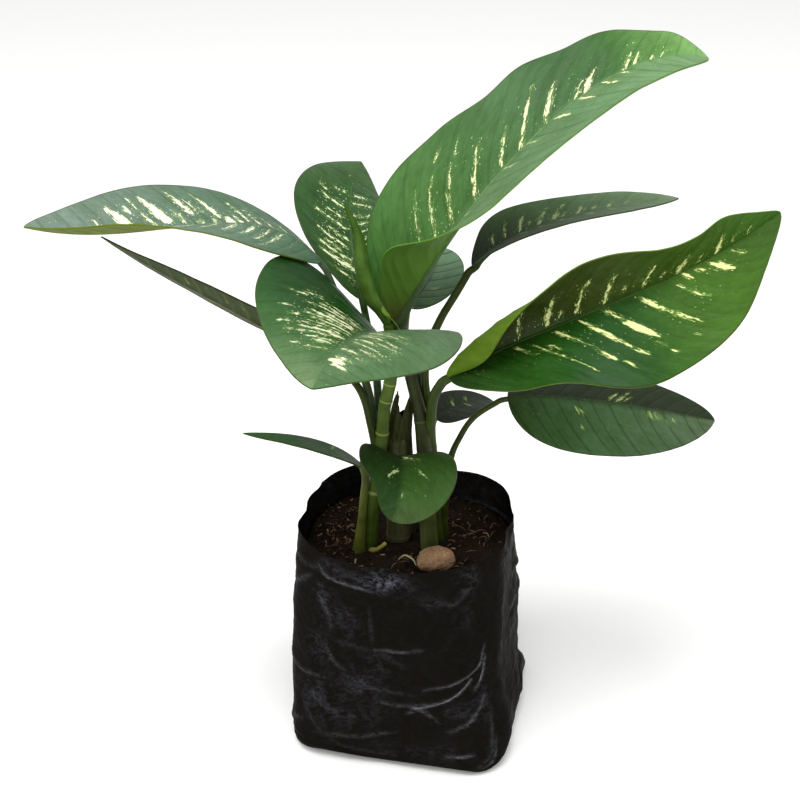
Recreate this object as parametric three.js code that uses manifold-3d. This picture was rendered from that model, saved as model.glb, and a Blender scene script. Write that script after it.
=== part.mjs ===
// Potted dieffenbachia: three canes with variegated leaves, planted in a black film grow bag.
// Millimetres, +Z up. The origin is the centre of the bag's flat base, and -Y is the front.
import * as THREE from "three";
import { mergeVertices } from "three/addons/utils/BufferGeometryUtils.js";
import Module from "manifold-3d";

const wasm = await Module();
wasm.setup();

// ---------------------------------------------------------------- driving dimensions
const gap = 0.3; // clearance between neighbouring pieces
const soilGap = 0.95; // between the soil and the creased film, whose facets bow inwards a little
const bladeThickness = 1.2;
const ribThickness = 2.6; // blade and midrib together
const leastHalfWidth = 1.3; // of a blade, at its base and its tip
const lobeLength = 6; // how far the widest part of a blade's base would reach back
const rootDepth = 1.5; // how far a blade's base runs down into its stalk

// The bag is a rounded square in section. Each level gives its height, the side of the
// square, the radius of its corners, and how far its middle has slumped: `shift` is along X
// and `slump` along Y.
const bag = {
  wall: 1.2,
  turn: -12, // degrees about Z
  levels: [
    { z: 0, side: 150, corner: 16, shift: 0, slump: 0 },
    { z: 5, side: 157, corner: 24, shift: 1, slump: -3 },
    { z: 15, side: 159, corner: 30, shift: 1.5, slump: -4 },
    { z: 27, side: 158, corner: 34, shift: 1, slump: -3.5 },
    { z: 40, side: 156, corner: 37, shift: 0.5, slump: -3 },
    { z: 80, side: 150, corner: 42, shift: -2.5, slump: -1 },
    { z: 110, side: 148, corner: 48, shift: -3, slump: 0 },
    { z: 135, side: 147, corner: 56, shift: -3, slump: 0 },
    { z: 156, side: 145, corner: 62, shift: -2, slump: 0 },
  ],
};
const soilHeight = 133;
const pebble = { centre: [16.5, -34, 141], radii: [13.5, 10, 8.5], turn: 12 };

// A cane or a stalk is a tube through hand-placed points, with a radius at each point.
const canes = {
  cane_left: {
    path: [
      [-27, -7, 118],
      [-28, -7, 133],
      [-26, -7, 172],
      [-20, -6, 218],
      [-18, -5, 241],
      [-14, -4, 261],
      [-12, -4, 278],
      [-13, -4, 292],
      [-15, -4, 305],
    ],
    radius: [5.5, 5, 4.6, 4.2, 3.8, 4, 4, 4.2, 4],
  },
  cane_centre: {
    path: [
      [-9, 6, 112],
      [-8, 6, 133],
      [-8, 6, 164],
      [-8, 6, 196],
      [-8, 6, 221],
    ],
    radius: [9, 9, 8.6, 8.6, 8],
  },
  cane_right: {
    path: [
      [13, -9, 116],
      [13, -9, 133],
      [11, -8, 172],
      [9, -5, 210],
      [6, -3, 236],
      [0, 0, 262],
      [-5, 0, 283],
      [-7, 0, 299],
    ],
    radius: [6.8, 6.4, 5.6, 5.2, 4.2, 3.7, 4, 4],
  },
};

// The two pointed halves of the old leaf sheath that wraps the top of the centre cane.
const sheathTips = [
  {
    path: [
      [-12, 6, 206],
      [-12, 6, 227],
      [-10, 6, 242],
      [-8, 6, 253],
    ],
    radius: [5, 4.4, 2.6, 1],
  },
  {
    path: [
      [-4, 8, 206],
      [-3, 8, 222],
      [-3, 8, 234],
      [-3, 8, 244],
    ],
    radius: [5, 4.2, 2.6, 1],
  },
];

const rolledLeaf = {
  path: [
    [-15, -4, 303],
    [-20, -6, 315],
    [-27, -9, 328],
    [-31, -8, 347],
    [-34, -3, 366],
    [-43, 3, 386],
  ],
  radius: [2.5, 3.2, 6.3, 6.3, 4.5, 1],
};

const brokenStalk = {
  path: [
    [-29, -9, 134],
    [-25, -14, 136],
    [-21, -17, 140],
    [-17, -19, 145],
  ],
  radius: [2.2, 1.8, 1.5, 1.4],
};

// A blade's midrib is a cubic curve through four control points. `heading` is the compass
// direction in which it points, in degrees: 0 is +X and 90 is +Y. `half` is the widest half
// width, reached at the fraction `widest` of the length, and `blunt` shapes the tip: less is
// rounder. On each side `lift` is the angle at which that half leaves the midrib and `curl`
// how much further it turns by its margin, in degrees at even steps from base to tip.
// `width` scales one half, `wave` is the height, count and phase of its margin's waves, and
// `lobe` is how far the base reaches back.
const leaves = {
  top_right: {
    midrib: [
      [-10, -4, 305],
      [23, 5, 369],
      [110, 30, 491],
      [189, 50, 466],
    ],
    heading: 14,
    half: 56,
    widest: 0.4,
    blunt: 0.65,
    right: {
      lift: [88, 80, 73, 60, 38, 24, 17, 14, 12, 10, 8, 6, 5, 3, 2, 1, 0],
      width: [0.6, 0.6, 0.78, 0.98, 1.04, 1, 1, 1, 1, 1, 1, 1, 1, 1, 1, 1, 1],
    },
    left: {
      lift: [55, 52, 45, 28, 10],
      width: [0.9, 0.9, 1, 1.04, 0.88, 0.76, 0.88, 0.76, 0.93, 1.2, 2.2],
      wave: [2.2, 3.5, 0.66],
    },
    stalk: {
      path: [
        [-7, 0, 298],
        [-8, -1, 302],
        [-9, -2, 305],
        [-10, -3, 309],
      ],
      radius: [3.2, 3.8, 4.4, 4.2],
    },
  },
  left: {
    midrib: [
      [-58, 8, 343],
      [-102, 5, 400],
      [-167, -5, 353],
      [-244, -15, 377],
    ],
    heading: 186,
    half: 44,
    widest: 0.48,
    blunt: 0.72,
    right: { lift: [-15, -5, 12, 28, 25] },
    left: { lift: [-16, -3, 18, 32, 30], width: [0.8, 0.93, 1, 0.95, 0.8] },
    stalk: {
      path: [
        [-20, -4, 192],
        [-22, 1, 207],
        [-26, 4, 234],
        [-30, 6, 254],
        [-41, 8, 290],
        [-49, 8, 319],
        [-58, 8, 343],
      ],
      radius: [3, 3, 2.9, 2.8, 2.6, 2.4, 2.2],
    },
  },
  left_low: {
    midrib: [
      [-69, 20, 273],
      [-107, 20, 297],
      [-155, 15, 325],
      [-200, 10, 360],
    ],
    heading: 180,
    half: 25,
    widest: 0.36,
    blunt: 0.95,
    right: { lift: [-30, -30] },
    left: { lift: [46, 44, 40] },
    stalk: {
      path: [
        [-24, -8, 195],
        [-24, -6, 211],
        [-28, -3, 233],
        [-32, 0, 248],
        [-38, 4, 257],
        [-49, 12, 265],
        [-69, 20, 273],
      ],
      radius: [2.8, 2.8, 2.7, 2.6, 2.4, 2.2, 2],
    },
  },
  back_centre: {
    midrib: [
      [-32, 5, 317],
      [-41, 20, 346],
      [-45, 60, 379],
      [-34, 105, 375],
    ],
    heading: 100,
    half: 40,
    widest: 0.62,
    blunt: 0.42,
    right: { lift: [10, -30, -60] },
    left: { lift: [10, 10, 0], width: [0.5, 0.7, 0.9, 0.95, 0.9, 0.9] },
    stalk: {
      path: [
        [-19, -3, 189],
        [-20, 4, 201],
        [-22, 9, 229],
        [-23, 10, 255],
        [-27, 8, 286],
        [-32, 5, 317],
      ],
      radius: [2.8, 2.8, 2.8, 2.7, 2.5, 2.3],
    },
  },
  front: {
    midrib: [
      [-19, -8, 296],
      [-29, -50, 327],
      [-51, -120, 346],
      [-57, -165, 341],
    ],
    heading: 251,
    half: 66,
    widest: 0.38,
    blunt: 0.72,
    right: {
      lift: [40, 36, 25, 15, 10],
      width: [0.92, 1.04, 1.12, 1.12, 1.07, 1, 0.9, 0.8, 0.72, 0.7],
    },
    left: { lift: [20, 14, 6, 2, 0], curl: [-10, -20, -20, 0], width: [1, 0.98, 0.97, 1], lobe: 0 },
    stalk: {
      path: [
        [-13, -7, 275],
        [-15, -11, 287],
        [-17, -10, 293],
        [-19, -8, 296],
      ],
      radius: [2.8, 2.8, 2.7, 2.6],
    },
  },
  back_right: {
    midrib: [
      [-3, 15, 308],
      [11, 35, 312],
      [19, 65, 313],
      [20, 100, 313],
    ],
    heading: 75,
    half: 21,
    widest: 0.5,
    blunt: 0.5,
    right: { lift: [0, 0] },
    left: { lift: [30, 30, 20] },
    stalk: {
      path: [
        [11, -2, 215],
        [7, 6, 239],
        [3, 9, 264],
        [-4, 11, 286],
        [-3, 15, 308],
      ],
      radius: [3, 3, 2.8, 2.7, 2.5],
    },
  },
  right_arch: {
    midrib: [
      [40, 25, 332],
      [61, 35, 357],
      [125, 50, 365],
      [178, 60, 366],
    ],
    heading: 10,
    half: 30,
    widest: 0.5,
    blunt: 0.7,
    lobe: 2,
    right: { lift: [20, 17, 12] },
    left: {
      lift: [15, 12, 8, 0, -5],
      width: [0.7, 0.9, 1.15, 1.18, 1.05, 0.93, 0.9, 1, 1.1, 1.1, 1],
    },
    stalk: {
      path: [
        [12, 1, 218],
        [11, 3, 240],
        [9, 4, 260],
        [11, 8, 279],
        [19, 14, 298],
        [30, 21, 315],
        [40, 25, 332],
      ],
      radius: [3, 3, 2.9, 2.8, 2.7, 2.6, 2.5],
    },
  },
  right: {
    midrib: [
      [24, -10, 269],
      [86, -15, 312],
      [169, -30, 340],
      [225, -40, 397],
    ],
    heading: -5,
    half: 60,
    widest: 0.55,
    blunt: 0.55,
    right: {
      lift: [-15, -25, -38, -45, -45],
      width: [1.1, 0.96, 0.88, 0.87, 0.92, 1, 1.06, 1.06, 0.92, 0.66, 0.4],
      wave: [2.5, 3, 0.2],
    },
    left: {
      lift: [30, 45, 72, 92, 104, 110, 115, 108, 100],
      curl: [300, 250, 140, 70, 20, 5, 0, 0, 0],
      width: [1.05, 1.12, 1.05, 0.92, 0.8, 0.72, 0.62, 0.46, 0.42, 0.55, 0.3],
    },
    stalk: {
      path: [
        [20, 4, 120],
        [18, 4, 137],
        [15, 3, 174],
        [14, 0, 206],
        [13, -5, 227],
        [15, -9, 253],
        [24, -10, 269],
      ],
      radius: [5, 5, 4.4, 3.8, 3.5, 3.4, 3.2],
    },
  },
  right_low: {
    midrib: [
      [65, 10, 243],
      [107, 10, 245],
      [161, 5, 235],
      [204, 0, 230],
    ],
    heading: 0,
    half: 40,
    widest: 0.45,
    blunt: 0.6,
    lobe: 1,
    right: { lift: [-38, -42, -40], width: [1, 1, 0.97, 0.94, 0.93, 0.9, 0.85] },
    left: { lift: [5, 5] },
    stalk: {
      path: [
        [27, 10, 122],
        [23, 10, 145],
        [25, 9, 174],
        [27, 8, 195],
        [32, 8, 210],
        [43, 9, 228],
        [65, 10, 243],
      ],
      radius: [3, 3, 2.6, 2.3, 2.1, 2, 1.9],
    },
  },
  back_small: {
    midrib: [
      [17, 45, 208],
      [29, 60, 210],
      [46, 80, 205],
      [60, 90, 197],
    ],
    heading: 45,
    half: 15,
    widest: 0.4,
    blunt: 0.7,
    right: { lift: [-10, -10] },
    left: { lift: [20, 20] },
    stalk: {
      path: [
        [13, 4, 203],
        [14, 12, 208],
        [15, 28, 209],
        [17, 45, 208],
      ],
      radius: [2.4, 2.3, 2.1, 2],
    },
  },
  left_small: {
    midrib: [
      [-34, -10, 203],
      [-51, -15, 225],
      [-80, -25, 236],
      [-110, -35, 240],
    ],
    heading: 190,
    half: 20,
    widest: 0.45,
    blunt: 0.8,
    right: { lift: [-30, -30] },
    left: { lift: [4, 4] },
    stalk: {
      path: [
        [-37, -11, 122],
        [-36, -11, 132],
        [-34, -11, 154],
        [-32, -11, 178],
        [-31, -11, 192],
        [-34, -10, 203],
      ],
      radius: [3.6, 3.4, 3, 2.6, 2.4, 2.2],
    },
  },
  front_small: {
    midrib: [
      [-7, -28, 218],
      [-4, -44, 217],
      [-6, -57, 202],
      [-13, -62, 189],
    ],
    heading: -97,
    half: 32,
    widest: 0.34,
    blunt: 0.6,
    lobe: 14,
    right: { lift: [0, 0], width: [0.95, 0.9, 0.66, 0.62, 0.8] },
    left: { lift: [0, 0], width: [1.12, 1.12, 1.08, 1], lobe: 6 },
    stalk: {
      path: [
        [-8, 0, 164],
        [-7, -8, 182],
        [-6, -18, 204],
        [-7, -28, 218],
      ],
      radius: [2.6, 2.5, 2.4, 2.3],
    },
  },
};

const looks = {
  film: { color: "#15130f", roughness: 0.35 },
  soil: { color: "#1c140d", roughness: 0.95 },
  clay: { color: "#a3714c", roughness: 0.9 },
  cane: { color: "#4f6a2b", roughness: 0.5 },
  sheath: { color: "#3b3d22", roughness: 0.6 },
  leaf: { color: "#3f7a3a", roughness: 0.4 },
  youngLeaf: { color: "#6f9440", roughness: 0.45 },
  wornStalk: { color: "#a8963a", roughness: 0.6 },
};

// ---------------------------------------------------------------- curves
const radians = THREE.MathUtils.degToRad;

// A smooth curve through evenly spaced numbers, read at a fraction of its length.
function along(values, fraction) {
  const last = values.length - 1;
  const x = THREE.MathUtils.clamp(fraction, 0, 1) * last;
  const i = Math.min(Math.floor(x), last - 1);
  const f = x - i;
  const [from, to] = [values[i], values[i + 1]];
  const slopeIn = i === 0 ? to - from : (to - values[i - 1]) / 2;
  const slopeOut = i === last - 1 ? to - from : (values[i + 2] - from) / 2;
  return (
    from * (2 * f ** 3 - 3 * f ** 2 + 1) +
    slopeIn * (f ** 3 - 2 * f ** 2 + f) +
    to * (3 * f ** 2 - 2 * f ** 3) +
    slopeOut * (f ** 3 - f ** 2)
  );
}

function pointAlong(path, fraction) {
  return new THREE.Vector3(...[0, 1, 2].map((axis) => along(path.map((p) => p[axis]), fraction)));
}

function directionAlong(path, fraction) {
  const step = 0.002;
  const [before, after] = [Math.max(fraction - step, 0), Math.min(fraction + step, 1)];
  return pointAlong(path, after).sub(pointAlong(path, before)).normalize();
}

// ---------------------------------------------------------------- closed shapes
// Moves every vertex of a closed geometry, and joins the vertices that its seams repeat.
function warped(geometry, place) {
  const position = geometry.getAttribute("position");
  const vertex = new THREE.Vector3();
  for (let i = 0; i < position.count; i++) {
    vertex.fromBufferAttribute(position, i);
    const moved = place(vertex);
    position.setXYZ(i, moved.x, moved.y, moved.z);
  }
  geometry.deleteAttribute("normal");
  geometry.deleteAttribute("uv");
  return mergeVertices(geometry, 1e-4);
}

function solid(geometry) {
  return new wasm.Manifold(
    new wasm.Mesh({
      numProp: 3,
      vertProperties: new Float32Array(geometry.getAttribute("position").array),
      triVerts: new Uint32Array(geometry.index.array),
    }),
  );
}

// A closed tube: a capped cylinder whose rows are moved onto the path. `grow` makes it
// bigger all round, which gives a cutting tool that leaves that much clearance.
function tube({ path, radius }, { sides, rows, grow = 0 }) {
  const chord = pointAlong(path, 1).sub(pointAlong(path, 0));
  const across = chord.cross(new THREE.Vector3(0.3, 0.5, 0.8)).normalize();
  const cylinder = new THREE.CylinderGeometry(1, 1, 1, sides, rows);
  return warped(cylinder, (v) => {
    const fraction = v.y + 0.5;
    const forward = directionAlong(path, fraction);
    const u = new THREE.Vector3().crossVectors(forward, across).normalize();
    const w = new THREE.Vector3().crossVectors(forward, u);
    const r = along(radius, fraction) + grow;
    const overrun = fraction < 0.001 ? -grow : fraction > 0.999 ? grow : 0;
    return pointAlong(path, fraction)
      .addScaledVector(forward, overrun)
      .addScaledVector(u, v.x * r)
      .addScaledVector(w, -v.z * r);
  });
}

// The half width of a blade at a fraction of its length.
function halfWidth(leaf, s) {
  const { half, widest, blunt } = leaf;
  const basePower = (blunt * widest) / (1 - widest);
  const shape = (s / widest) ** basePower * ((1 - s) / (1 - widest)) ** blunt;
  return Math.max(half * shape, leastHalfWidth);
}

// A point of a blade's surface: s runs from base to tip, and t from -1 at the left margin,
// past 0 at the midrib, to 1 at the right margin.
function bladePoint(leaf, s, t) {
  const midrib = new THREE.CubicBezierCurve3(...leaf.midrib.map((p) => new THREE.Vector3(...p)));
  const forward = midrib.getTangent(s);
  const heading = radians(leaf.heading);
  const right = new THREE.Vector3(Math.sin(heading), -Math.cos(heading), 0);
  right.addScaledVector(forward, -right.dot(forward)).normalize();
  const up = new THREE.Vector3().crossVectors(right, forward);
  const half = t < 0 ? leaf.left : leaf.right;
  const a = Math.abs(t);
  const lift = radians(along(half.lift, s));
  const curl = radians(half.curl ? along(half.curl, s) : 0) || 1e-4;
  const outward = (Math.sin(lift + curl * a) - Math.sin(lift)) / curl;
  const upward = (Math.cos(lift) - Math.cos(lift + curl * a)) / curl;
  const width = halfWidth(leaf, s) * (half.width ? along(half.width, s) : 1);
  const [height, count, phase] = half.wave ?? [0, 0, 0];
  const fade = Math.min(1, 1.5 * Math.sin(Math.PI * s));
  const wave = height * Math.sin(2 * Math.PI * (count * s + phase)) * a ** 2 * fade;
  const fullLobe = half.lobe ?? leaf.lobe ?? lobeLength;
  const lobe = fullLobe * a * (width / leaf.half) * (1 - s) ** 4;
  const root = rootDepth * (1 - s) ** 12;
  return midrib
    .getPoint(s)
    .addScaledVector(right, Math.sign(t) * width * outward)
    .addScaledVector(up, width * upward + wave)
    .addScaledVector(forward, -lobe - root);
}

function bladeNormal(leaf, s, t) {
  const step = 0.01;
  const at = (ds, dt) =>
    bladePoint(leaf, THREE.MathUtils.clamp(s + ds, 0, 1), THREE.MathUtils.clamp(t + dt, -1, 1));
  const lengthwise = at(step, 0).sub(at(-step, 0));
  const crosswise = at(0, step).sub(at(0, -step));
  return crosswise.cross(lengthwise).normalize();
}

// A blade is a flat box bent to its surface, thickened under the midrib.
function blade(leaf) {
  const [lengthwise, crosswise] = leaf.half > 35 ? [12, 6] : [10, 4];
  const box = new THREE.BoxGeometry(1, 1, 1, lengthwise, crosswise, 1);
  return warped(box, (v) => {
    const [s, t] = [v.x + 0.5, -2 * v.y];
    const under = Math.abs(t) < 0.01 ? ribThickness - bladeThickness / 2 : bladeThickness / 2;
    const offset = v.z > 0 ? bladeThickness / 2 : -under;
    return bladePoint(leaf, s, t).addScaledVector(bladeNormal(leaf, s, t), offset);
  });
}

// The distance from the middle of a rounded square to its edge, in a given direction.
function squareRadius(side, corner, angle) {
  const straight = side / 2 - corner;
  const [x, y] = [Math.abs(Math.cos(angle)), Math.abs(Math.sin(angle))];
  const toFace = side / 2 / Math.max(x, y);
  if (toFace * Math.min(x, y) <= straight) return toFace;
  const along45 = straight * (x + y);
  return along45 + Math.sqrt(along45 ** 2 - 2 * straight ** 2 + corner ** 2);
}

// A stack of rings that follow the bag's shape. A row's height is read from `z`, its
// distance inside the bag's outer face from `inset`, and a row without one is on the axis.
function bagShape(rows, segments = 40) {
  const heights = bag.levels.map((level) => level.z);
  const turn = radians(bag.turn);
  const read = (key, z) => {
    const upper = Math.max(1, heights.findIndex((height) => height >= z));
    const [low, high] = [bag.levels[upper - 1], bag.levels[upper]];
    return THREE.MathUtils.mapLinear(z, low.z, high.z, low[key], high[key]);
  };
  const column = rows.map(({ inset }, i) => new THREE.Vector2(inset === undefined ? 0 : 1, i));
  return warped(new THREE.LatheGeometry(column, segments), (v) => {
    const { z, inset = 0 } = rows[Math.round(v.y)];
    const angle = Math.atan2(-v.z, v.x);
    const side = read("side", z) - 2 * inset;
    const corner = Math.max(read("corner", z) - inset, 6);
    const r = Math.hypot(v.x, v.z) * squareRadius(side, corner, angle - turn);
    const [x, y] = [read("shift", z), read("slump", z)];
    return new THREE.Vector3(x + r * Math.cos(angle), y + r * Math.sin(angle), z);
  });
}

// ---------------------------------------------------------------- the pieces
const plant = new THREE.Group();

function addPiece(name, shape, look) {
  const { vertProperties, triVerts } = shape.getMesh();
  const geometry = new THREE.BufferGeometry();
  geometry.setAttribute("position", new THREE.BufferAttribute(vertProperties, 3));
  geometry.setIndex(new THREE.BufferAttribute(triVerts, 1));
  geometry.computeVertexNormals();
  const mesh = new THREE.Mesh(geometry, new THREE.MeshStandardMaterial(looks[look]));
  mesh.name = name;
  plant.add(mesh);
}

// What a boolean leaves can hold a sliver: the piece is its biggest body.
function biggest(shape) {
  return shape.decompose().sort((a, b) => b.volume() - a.volume())[0];
}

function addBag() {
  const { levels, wall } = bag;
  const outside = levels.map(({ z }) => ({ z, inset: 0 }));
  const inside = levels.slice(1).reverse().map(({ z }) => ({ z, inset: wall }));
  const rows = [{ z: 0 }, ...outside, ...inside, { z: wall, inset: wall }, { z: wall }];
  addPiece("grow_bag", solid(bagShape(rows)), "film");
}

function pebbleShape(grow) {
  const [x, y, z] = pebble.centre;
  const turn = radians(pebble.turn);
  const up = new THREE.Vector3(0, 0, 1);
  const sphere = new THREE.IcosahedronGeometry(1, 2);
  return warped(sphere, (v) => {
    const lump = 1 + 0.05 * Math.sin(3 * v.x + 1) * Math.cos(4 * v.y) + 0.03 * Math.sin(5 * v.z);
    const [rx, ry, rz] = pebble.radii.map((r) => r * lump + grow);
    return new THREE.Vector3(v.x * rx, v.y * ry, v.z * rz)
      .applyAxisAngle(up, turn)
      .add(new THREE.Vector3(x, y, z));
  });
}

// Each stem's shape grown by the gap, by name. A later stem is cut back by the earlier ones.
const clearances = new Map();

function stem(name, path, options, extra = []) {
  const parts = [path, ...extra];
  const joined = (grow) =>
    parts.map((part) => solid(tube(part, { ...options, grow }))).reduce((a, b) => a.add(b));
  let shape = joined(0);
  for (const other of clearances.values()) shape = shape.subtract(other);
  clearances.set(name, joined(gap));
  return biggest(shape);
}

function addCanes() {
  const options = { sides: 10, rows: 14 };
  addPiece("cane_left", stem("cane_left", canes.cane_left, options), "cane");
  const centre = stem("cane_centre", canes.cane_centre, { sides: 10, rows: 6 }, sheathTips);
  addPiece("cane_centre", centre, "sheath");
  addPiece("cane_right", stem("cane_right", canes.cane_right, options), "cane");
}

// A leaf is its stalk and its blade in one piece, and the blade is cut back by other stems.
function addLeaves() {
  const stalks = new Map();
  for (const [place, leaf] of Object.entries(leaves)) {
    const options = { sides: 6, rows: 2 * (leaf.stalk.path.length - 1) };
    stalks.set(place, stem(place, leaf.stalk, options));
  }
  addPiece("leaf_rolled", stem("rolled", rolledLeaf, { sides: 8, rows: 12 }), "youngLeaf");
  addPiece("broken_stalk", stem("broken", brokenStalk, { sides: 6, rows: 4 }), "wornStalk");
  for (const [place, leaf] of Object.entries(leaves)) {
    let shape = solid(blade(leaf));
    for (const [other, clearance] of clearances) {
      if (other !== place) shape = shape.subtract(clearance);
    }
    addPiece("leaf_" + place, biggest(shape.add(stalks.get(place))), "leaf");
  }
}

function addSoil() {
  const inset = bag.wall + soilGap;
  const heights = bag.levels.map(({ z }) => z).filter((z) => z > 10 && z < soilHeight);
  heights.push(soilHeight);
  const rows = [
    { z: inset },
    { z: inset, inset: inset + 1 },
    ...heights.map((z) => ({ z, inset })),
    { z: soilHeight },
  ];
  let soil = solid(bagShape(rows));
  const buried = [...clearances.values(), solid(pebbleShape(gap))];
  for (const shape of buried) soil = soil.subtract(shape);
  addPiece("potting_soil", biggest(soil), "soil");
  addPiece("clay_pebble", solid(pebbleShape(0)), "clay");
}

addBag();
addCanes();
addLeaves();
addSoil();

export default plant;
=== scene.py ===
# %% [markdown]
# # Potted dieffenbachia
# A young dieffenbachia stands in a black film nursery bag. Three canes rise from the potting mix,
# and twelve leaves with cream streaks arch out from them. The imported model is loaded first: it
# gives the frame that every piece made here is placed in.

import math
import random
from functools import partial

import bmesh
import bpy
import numpy as np
from mathutils import Matrix, Vector, noise


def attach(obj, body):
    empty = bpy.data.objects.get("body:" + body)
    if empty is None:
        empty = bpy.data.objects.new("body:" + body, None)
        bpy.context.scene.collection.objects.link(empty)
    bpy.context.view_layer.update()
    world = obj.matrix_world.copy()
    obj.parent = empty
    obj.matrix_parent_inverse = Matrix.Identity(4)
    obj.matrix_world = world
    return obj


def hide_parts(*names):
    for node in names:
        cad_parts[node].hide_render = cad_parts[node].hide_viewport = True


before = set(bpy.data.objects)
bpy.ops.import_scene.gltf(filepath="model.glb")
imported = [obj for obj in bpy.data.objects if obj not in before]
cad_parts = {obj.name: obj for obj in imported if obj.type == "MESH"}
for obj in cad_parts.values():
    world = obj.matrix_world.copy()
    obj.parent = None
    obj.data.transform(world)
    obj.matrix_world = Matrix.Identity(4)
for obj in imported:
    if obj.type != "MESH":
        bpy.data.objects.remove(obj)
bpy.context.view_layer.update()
MM = 0.001

# %% [markdown]
# ## Colours and nodes
# Paint and plant colours are easiest to read as sRGB hex values, but shaders work in linear light.
# One function converts them. A second function adds any node with its settings and links, so each
# material below reads as a short list of what lies on the surface, and ends with its relief.

# %% Colour and node helpers
SMOOTH = {"interpolation_type": "SMOOTHSTEP"}
PLUS, TIMES, TIMES_PLUS, LARGER = [
    {"operation": operation} for operation in ("ADD", "MULTIPLY", "MULTIPLY_ADD", "MAXIMUM")
]
BLEND, MULTIPLY, SCREEN = [
    {"data_type": "RGBA", "blend_type": blend} for blend in ("MIX", "MULTIPLY", "SCREEN")
]


def colour(hex_value):
    channels = [int(hex_value[i : i + 2], 16) / 255 for i in (1, 3, 5)]
    return (*[c / 12.92 if c <= 0.04045 else ((c + 0.055) / 1.055) ** 2.4 for c in channels], 1)


def add_node(tree, kind, settings, *values, out=None, **named):
    """Adds a node and gives back one output. Values fill its visible inputs in order, or by name."""
    node = tree.nodes.new("ShaderNode" + kind)
    for name, value in settings.items():
        setattr(node, name, value)
    visible = [socket for socket in node.inputs if socket.enabled]
    for socket, value in [*zip(visible, values), *((node.inputs[name], named[name]) for name in named)]:
        if isinstance(value, bpy.types.NodeSocket):
            tree.links.new(value, socket)
        else:
            socket.default_value = colour(value) if isinstance(value, str) else value
    return node.outputs[out] if out else next(socket for socket in node.outputs if socket.enabled)


def new_material(name, roughness, specular, ior=1.45):
    """A material, with add_node bound to its node tree."""
    material = bpy.data.materials.new(name)
    material.use_nodes = True
    shader = material.node_tree.nodes["Principled BSDF"]
    shader.inputs["Roughness"].default_value = roughness
    shader.inputs["IOR"].default_value = ior
    shader.inputs["Specular IOR Level"].default_value = specular
    return material, partial(add_node, material.node_tree)


def finish_material(material, base, relief, strength, depth, gloss=None):
    """Links a material's colour, its relief `depth` metres deep and, where it varies, its roughness."""
    tree = material.node_tree
    bump = add_node(tree, "Bump", {}, strength, depth, Height=relief)
    for name, socket in (("Base Color", base), ("Normal", bump), ("Roughness", gloss)):
        if socket is not None:
            tree.links.new(socket, tree.nodes["Principled BSDF"].inputs[name])
    return material


print("node helpers ready")

# %% [markdown]
# ## Curves
# Every stem and every leaf is described by a few values given at even steps along it. A smooth
# curve is passed through them, so a whole leaf margin needs only a handful of numbers.


# %% Curve helpers
def along(values, fraction):
    """A smooth curve through evenly spaced values, read at fractions of its length."""
    values = np.array(values, float)
    if len(values) == 1:
        return np.repeat(values, len(fraction), axis=0)
    last = len(values) - 1
    x = np.clip(fraction, 0, 1) * last
    i = np.minimum(np.floor(x).astype(int), last - 1)
    column = (-1,) + (1,) * (values.ndim - 1)
    f, first, final = [row.reshape(column) for row in (x - i, i == 0, i == last - 1)]
    numbers = (np.maximum(i - 1, 0), i, i + 1, np.minimum(i + 2, last))
    before, start, end, after = [values[number] for number in numbers]
    slope_in = np.where(first, end - start, (end - before) / 2)
    slope_out = np.where(final, end - start, (after - start) / 2)
    return (
        start * (2 * f**3 - 3 * f**2 + 1)
        + slope_in * (f**3 - 2 * f**2 + f)
        + end * (3 * f**2 - 2 * f**3)
        + slope_out * (f**3 - f**2)
    )


def bell(distance, width, power=2):
    """1 in the middle, falling smoothly to 0 over about twice the width."""
    return np.exp(-(np.abs(distance / width) ** power))


def unit(vectors):
    return vectors / np.linalg.norm(vectors, axis=-1, keepdims=True)


def path_length(points):
    return np.linalg.norm(np.diff(points, axis=0), axis=1).sum()


def smooth_noise(points, size, seed=0):
    """Smooth random values near -1 to 1 whose lumps are about `size` apart."""
    offset = Vector((seed * 17.3, seed * 5.1, seed * 9.7))
    return np.array([noise.noise(Vector(p) / size + offset) for p in points])


print("curve helpers ready")

# %% [markdown]
# ## From a grid to a piece
# Nearly every piece starts as a flat grid, as cloth does. Its vertices are moved to where a formula
# puts them, edges that meet are welded, and the mesh becomes a piece that rides on the pot.


# %% Mesh helpers
def new_grid(columns, rows, uv=None):
    """A flat grid, with each vertex's place across it (-1 to 1) and up it (0 to 1)."""
    bm = bmesh.new()
    if uv:
        bm.loops.layers.uv.new(uv)
    bmesh.ops.create_grid(bm, x_segments=columns, y_segments=rows, size=1, calc_uvs=bool(uv))
    grid = np.array([v.co for v in bm.verts])
    return bm, grid[:, 0], (grid[:, 1] + 1) / 2


def set_vertices(bm, points):
    for vertex, point in zip(bm.verts, points):
        vertex.co = point


def weld(bm, gap, at_hole=None):
    """Joins vertices that meet, fills the holes whose edges are picked, and turns faces outwards."""
    bmesh.ops.remove_doubles(bm, verts=bm.verts, dist=gap)
    if at_hole:
        bmesh.ops.holes_fill(bm, edges=[edge for edge in bm.edges if at_hole(edge)], sides=0)
    bmesh.ops.recalc_face_normals(bm, faces=bm.faces)


def to_mesh(name, bm):
    mesh = bpy.data.meshes.new(name)
    bm.to_mesh(mesh)
    bm.free()
    return mesh


def finish_piece(name, bm, materials, node=None):
    """Turns a bmesh in millimetres into a smooth-shaded piece in metres."""
    bmesh.ops.scale(bm, vec=(MM, MM, MM), verts=bm.verts)
    mesh = to_mesh(name, bm)
    mesh.polygons.foreach_set("use_smooth", [True] * len(mesh.polygons))
    piece = bpy.data.objects.new(name, mesh)
    bpy.context.collection.objects.link(piece)
    for material in materials:
        mesh.materials.append(material)
    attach(piece, "root")
    if node:
        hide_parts(node)
    return piece


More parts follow.
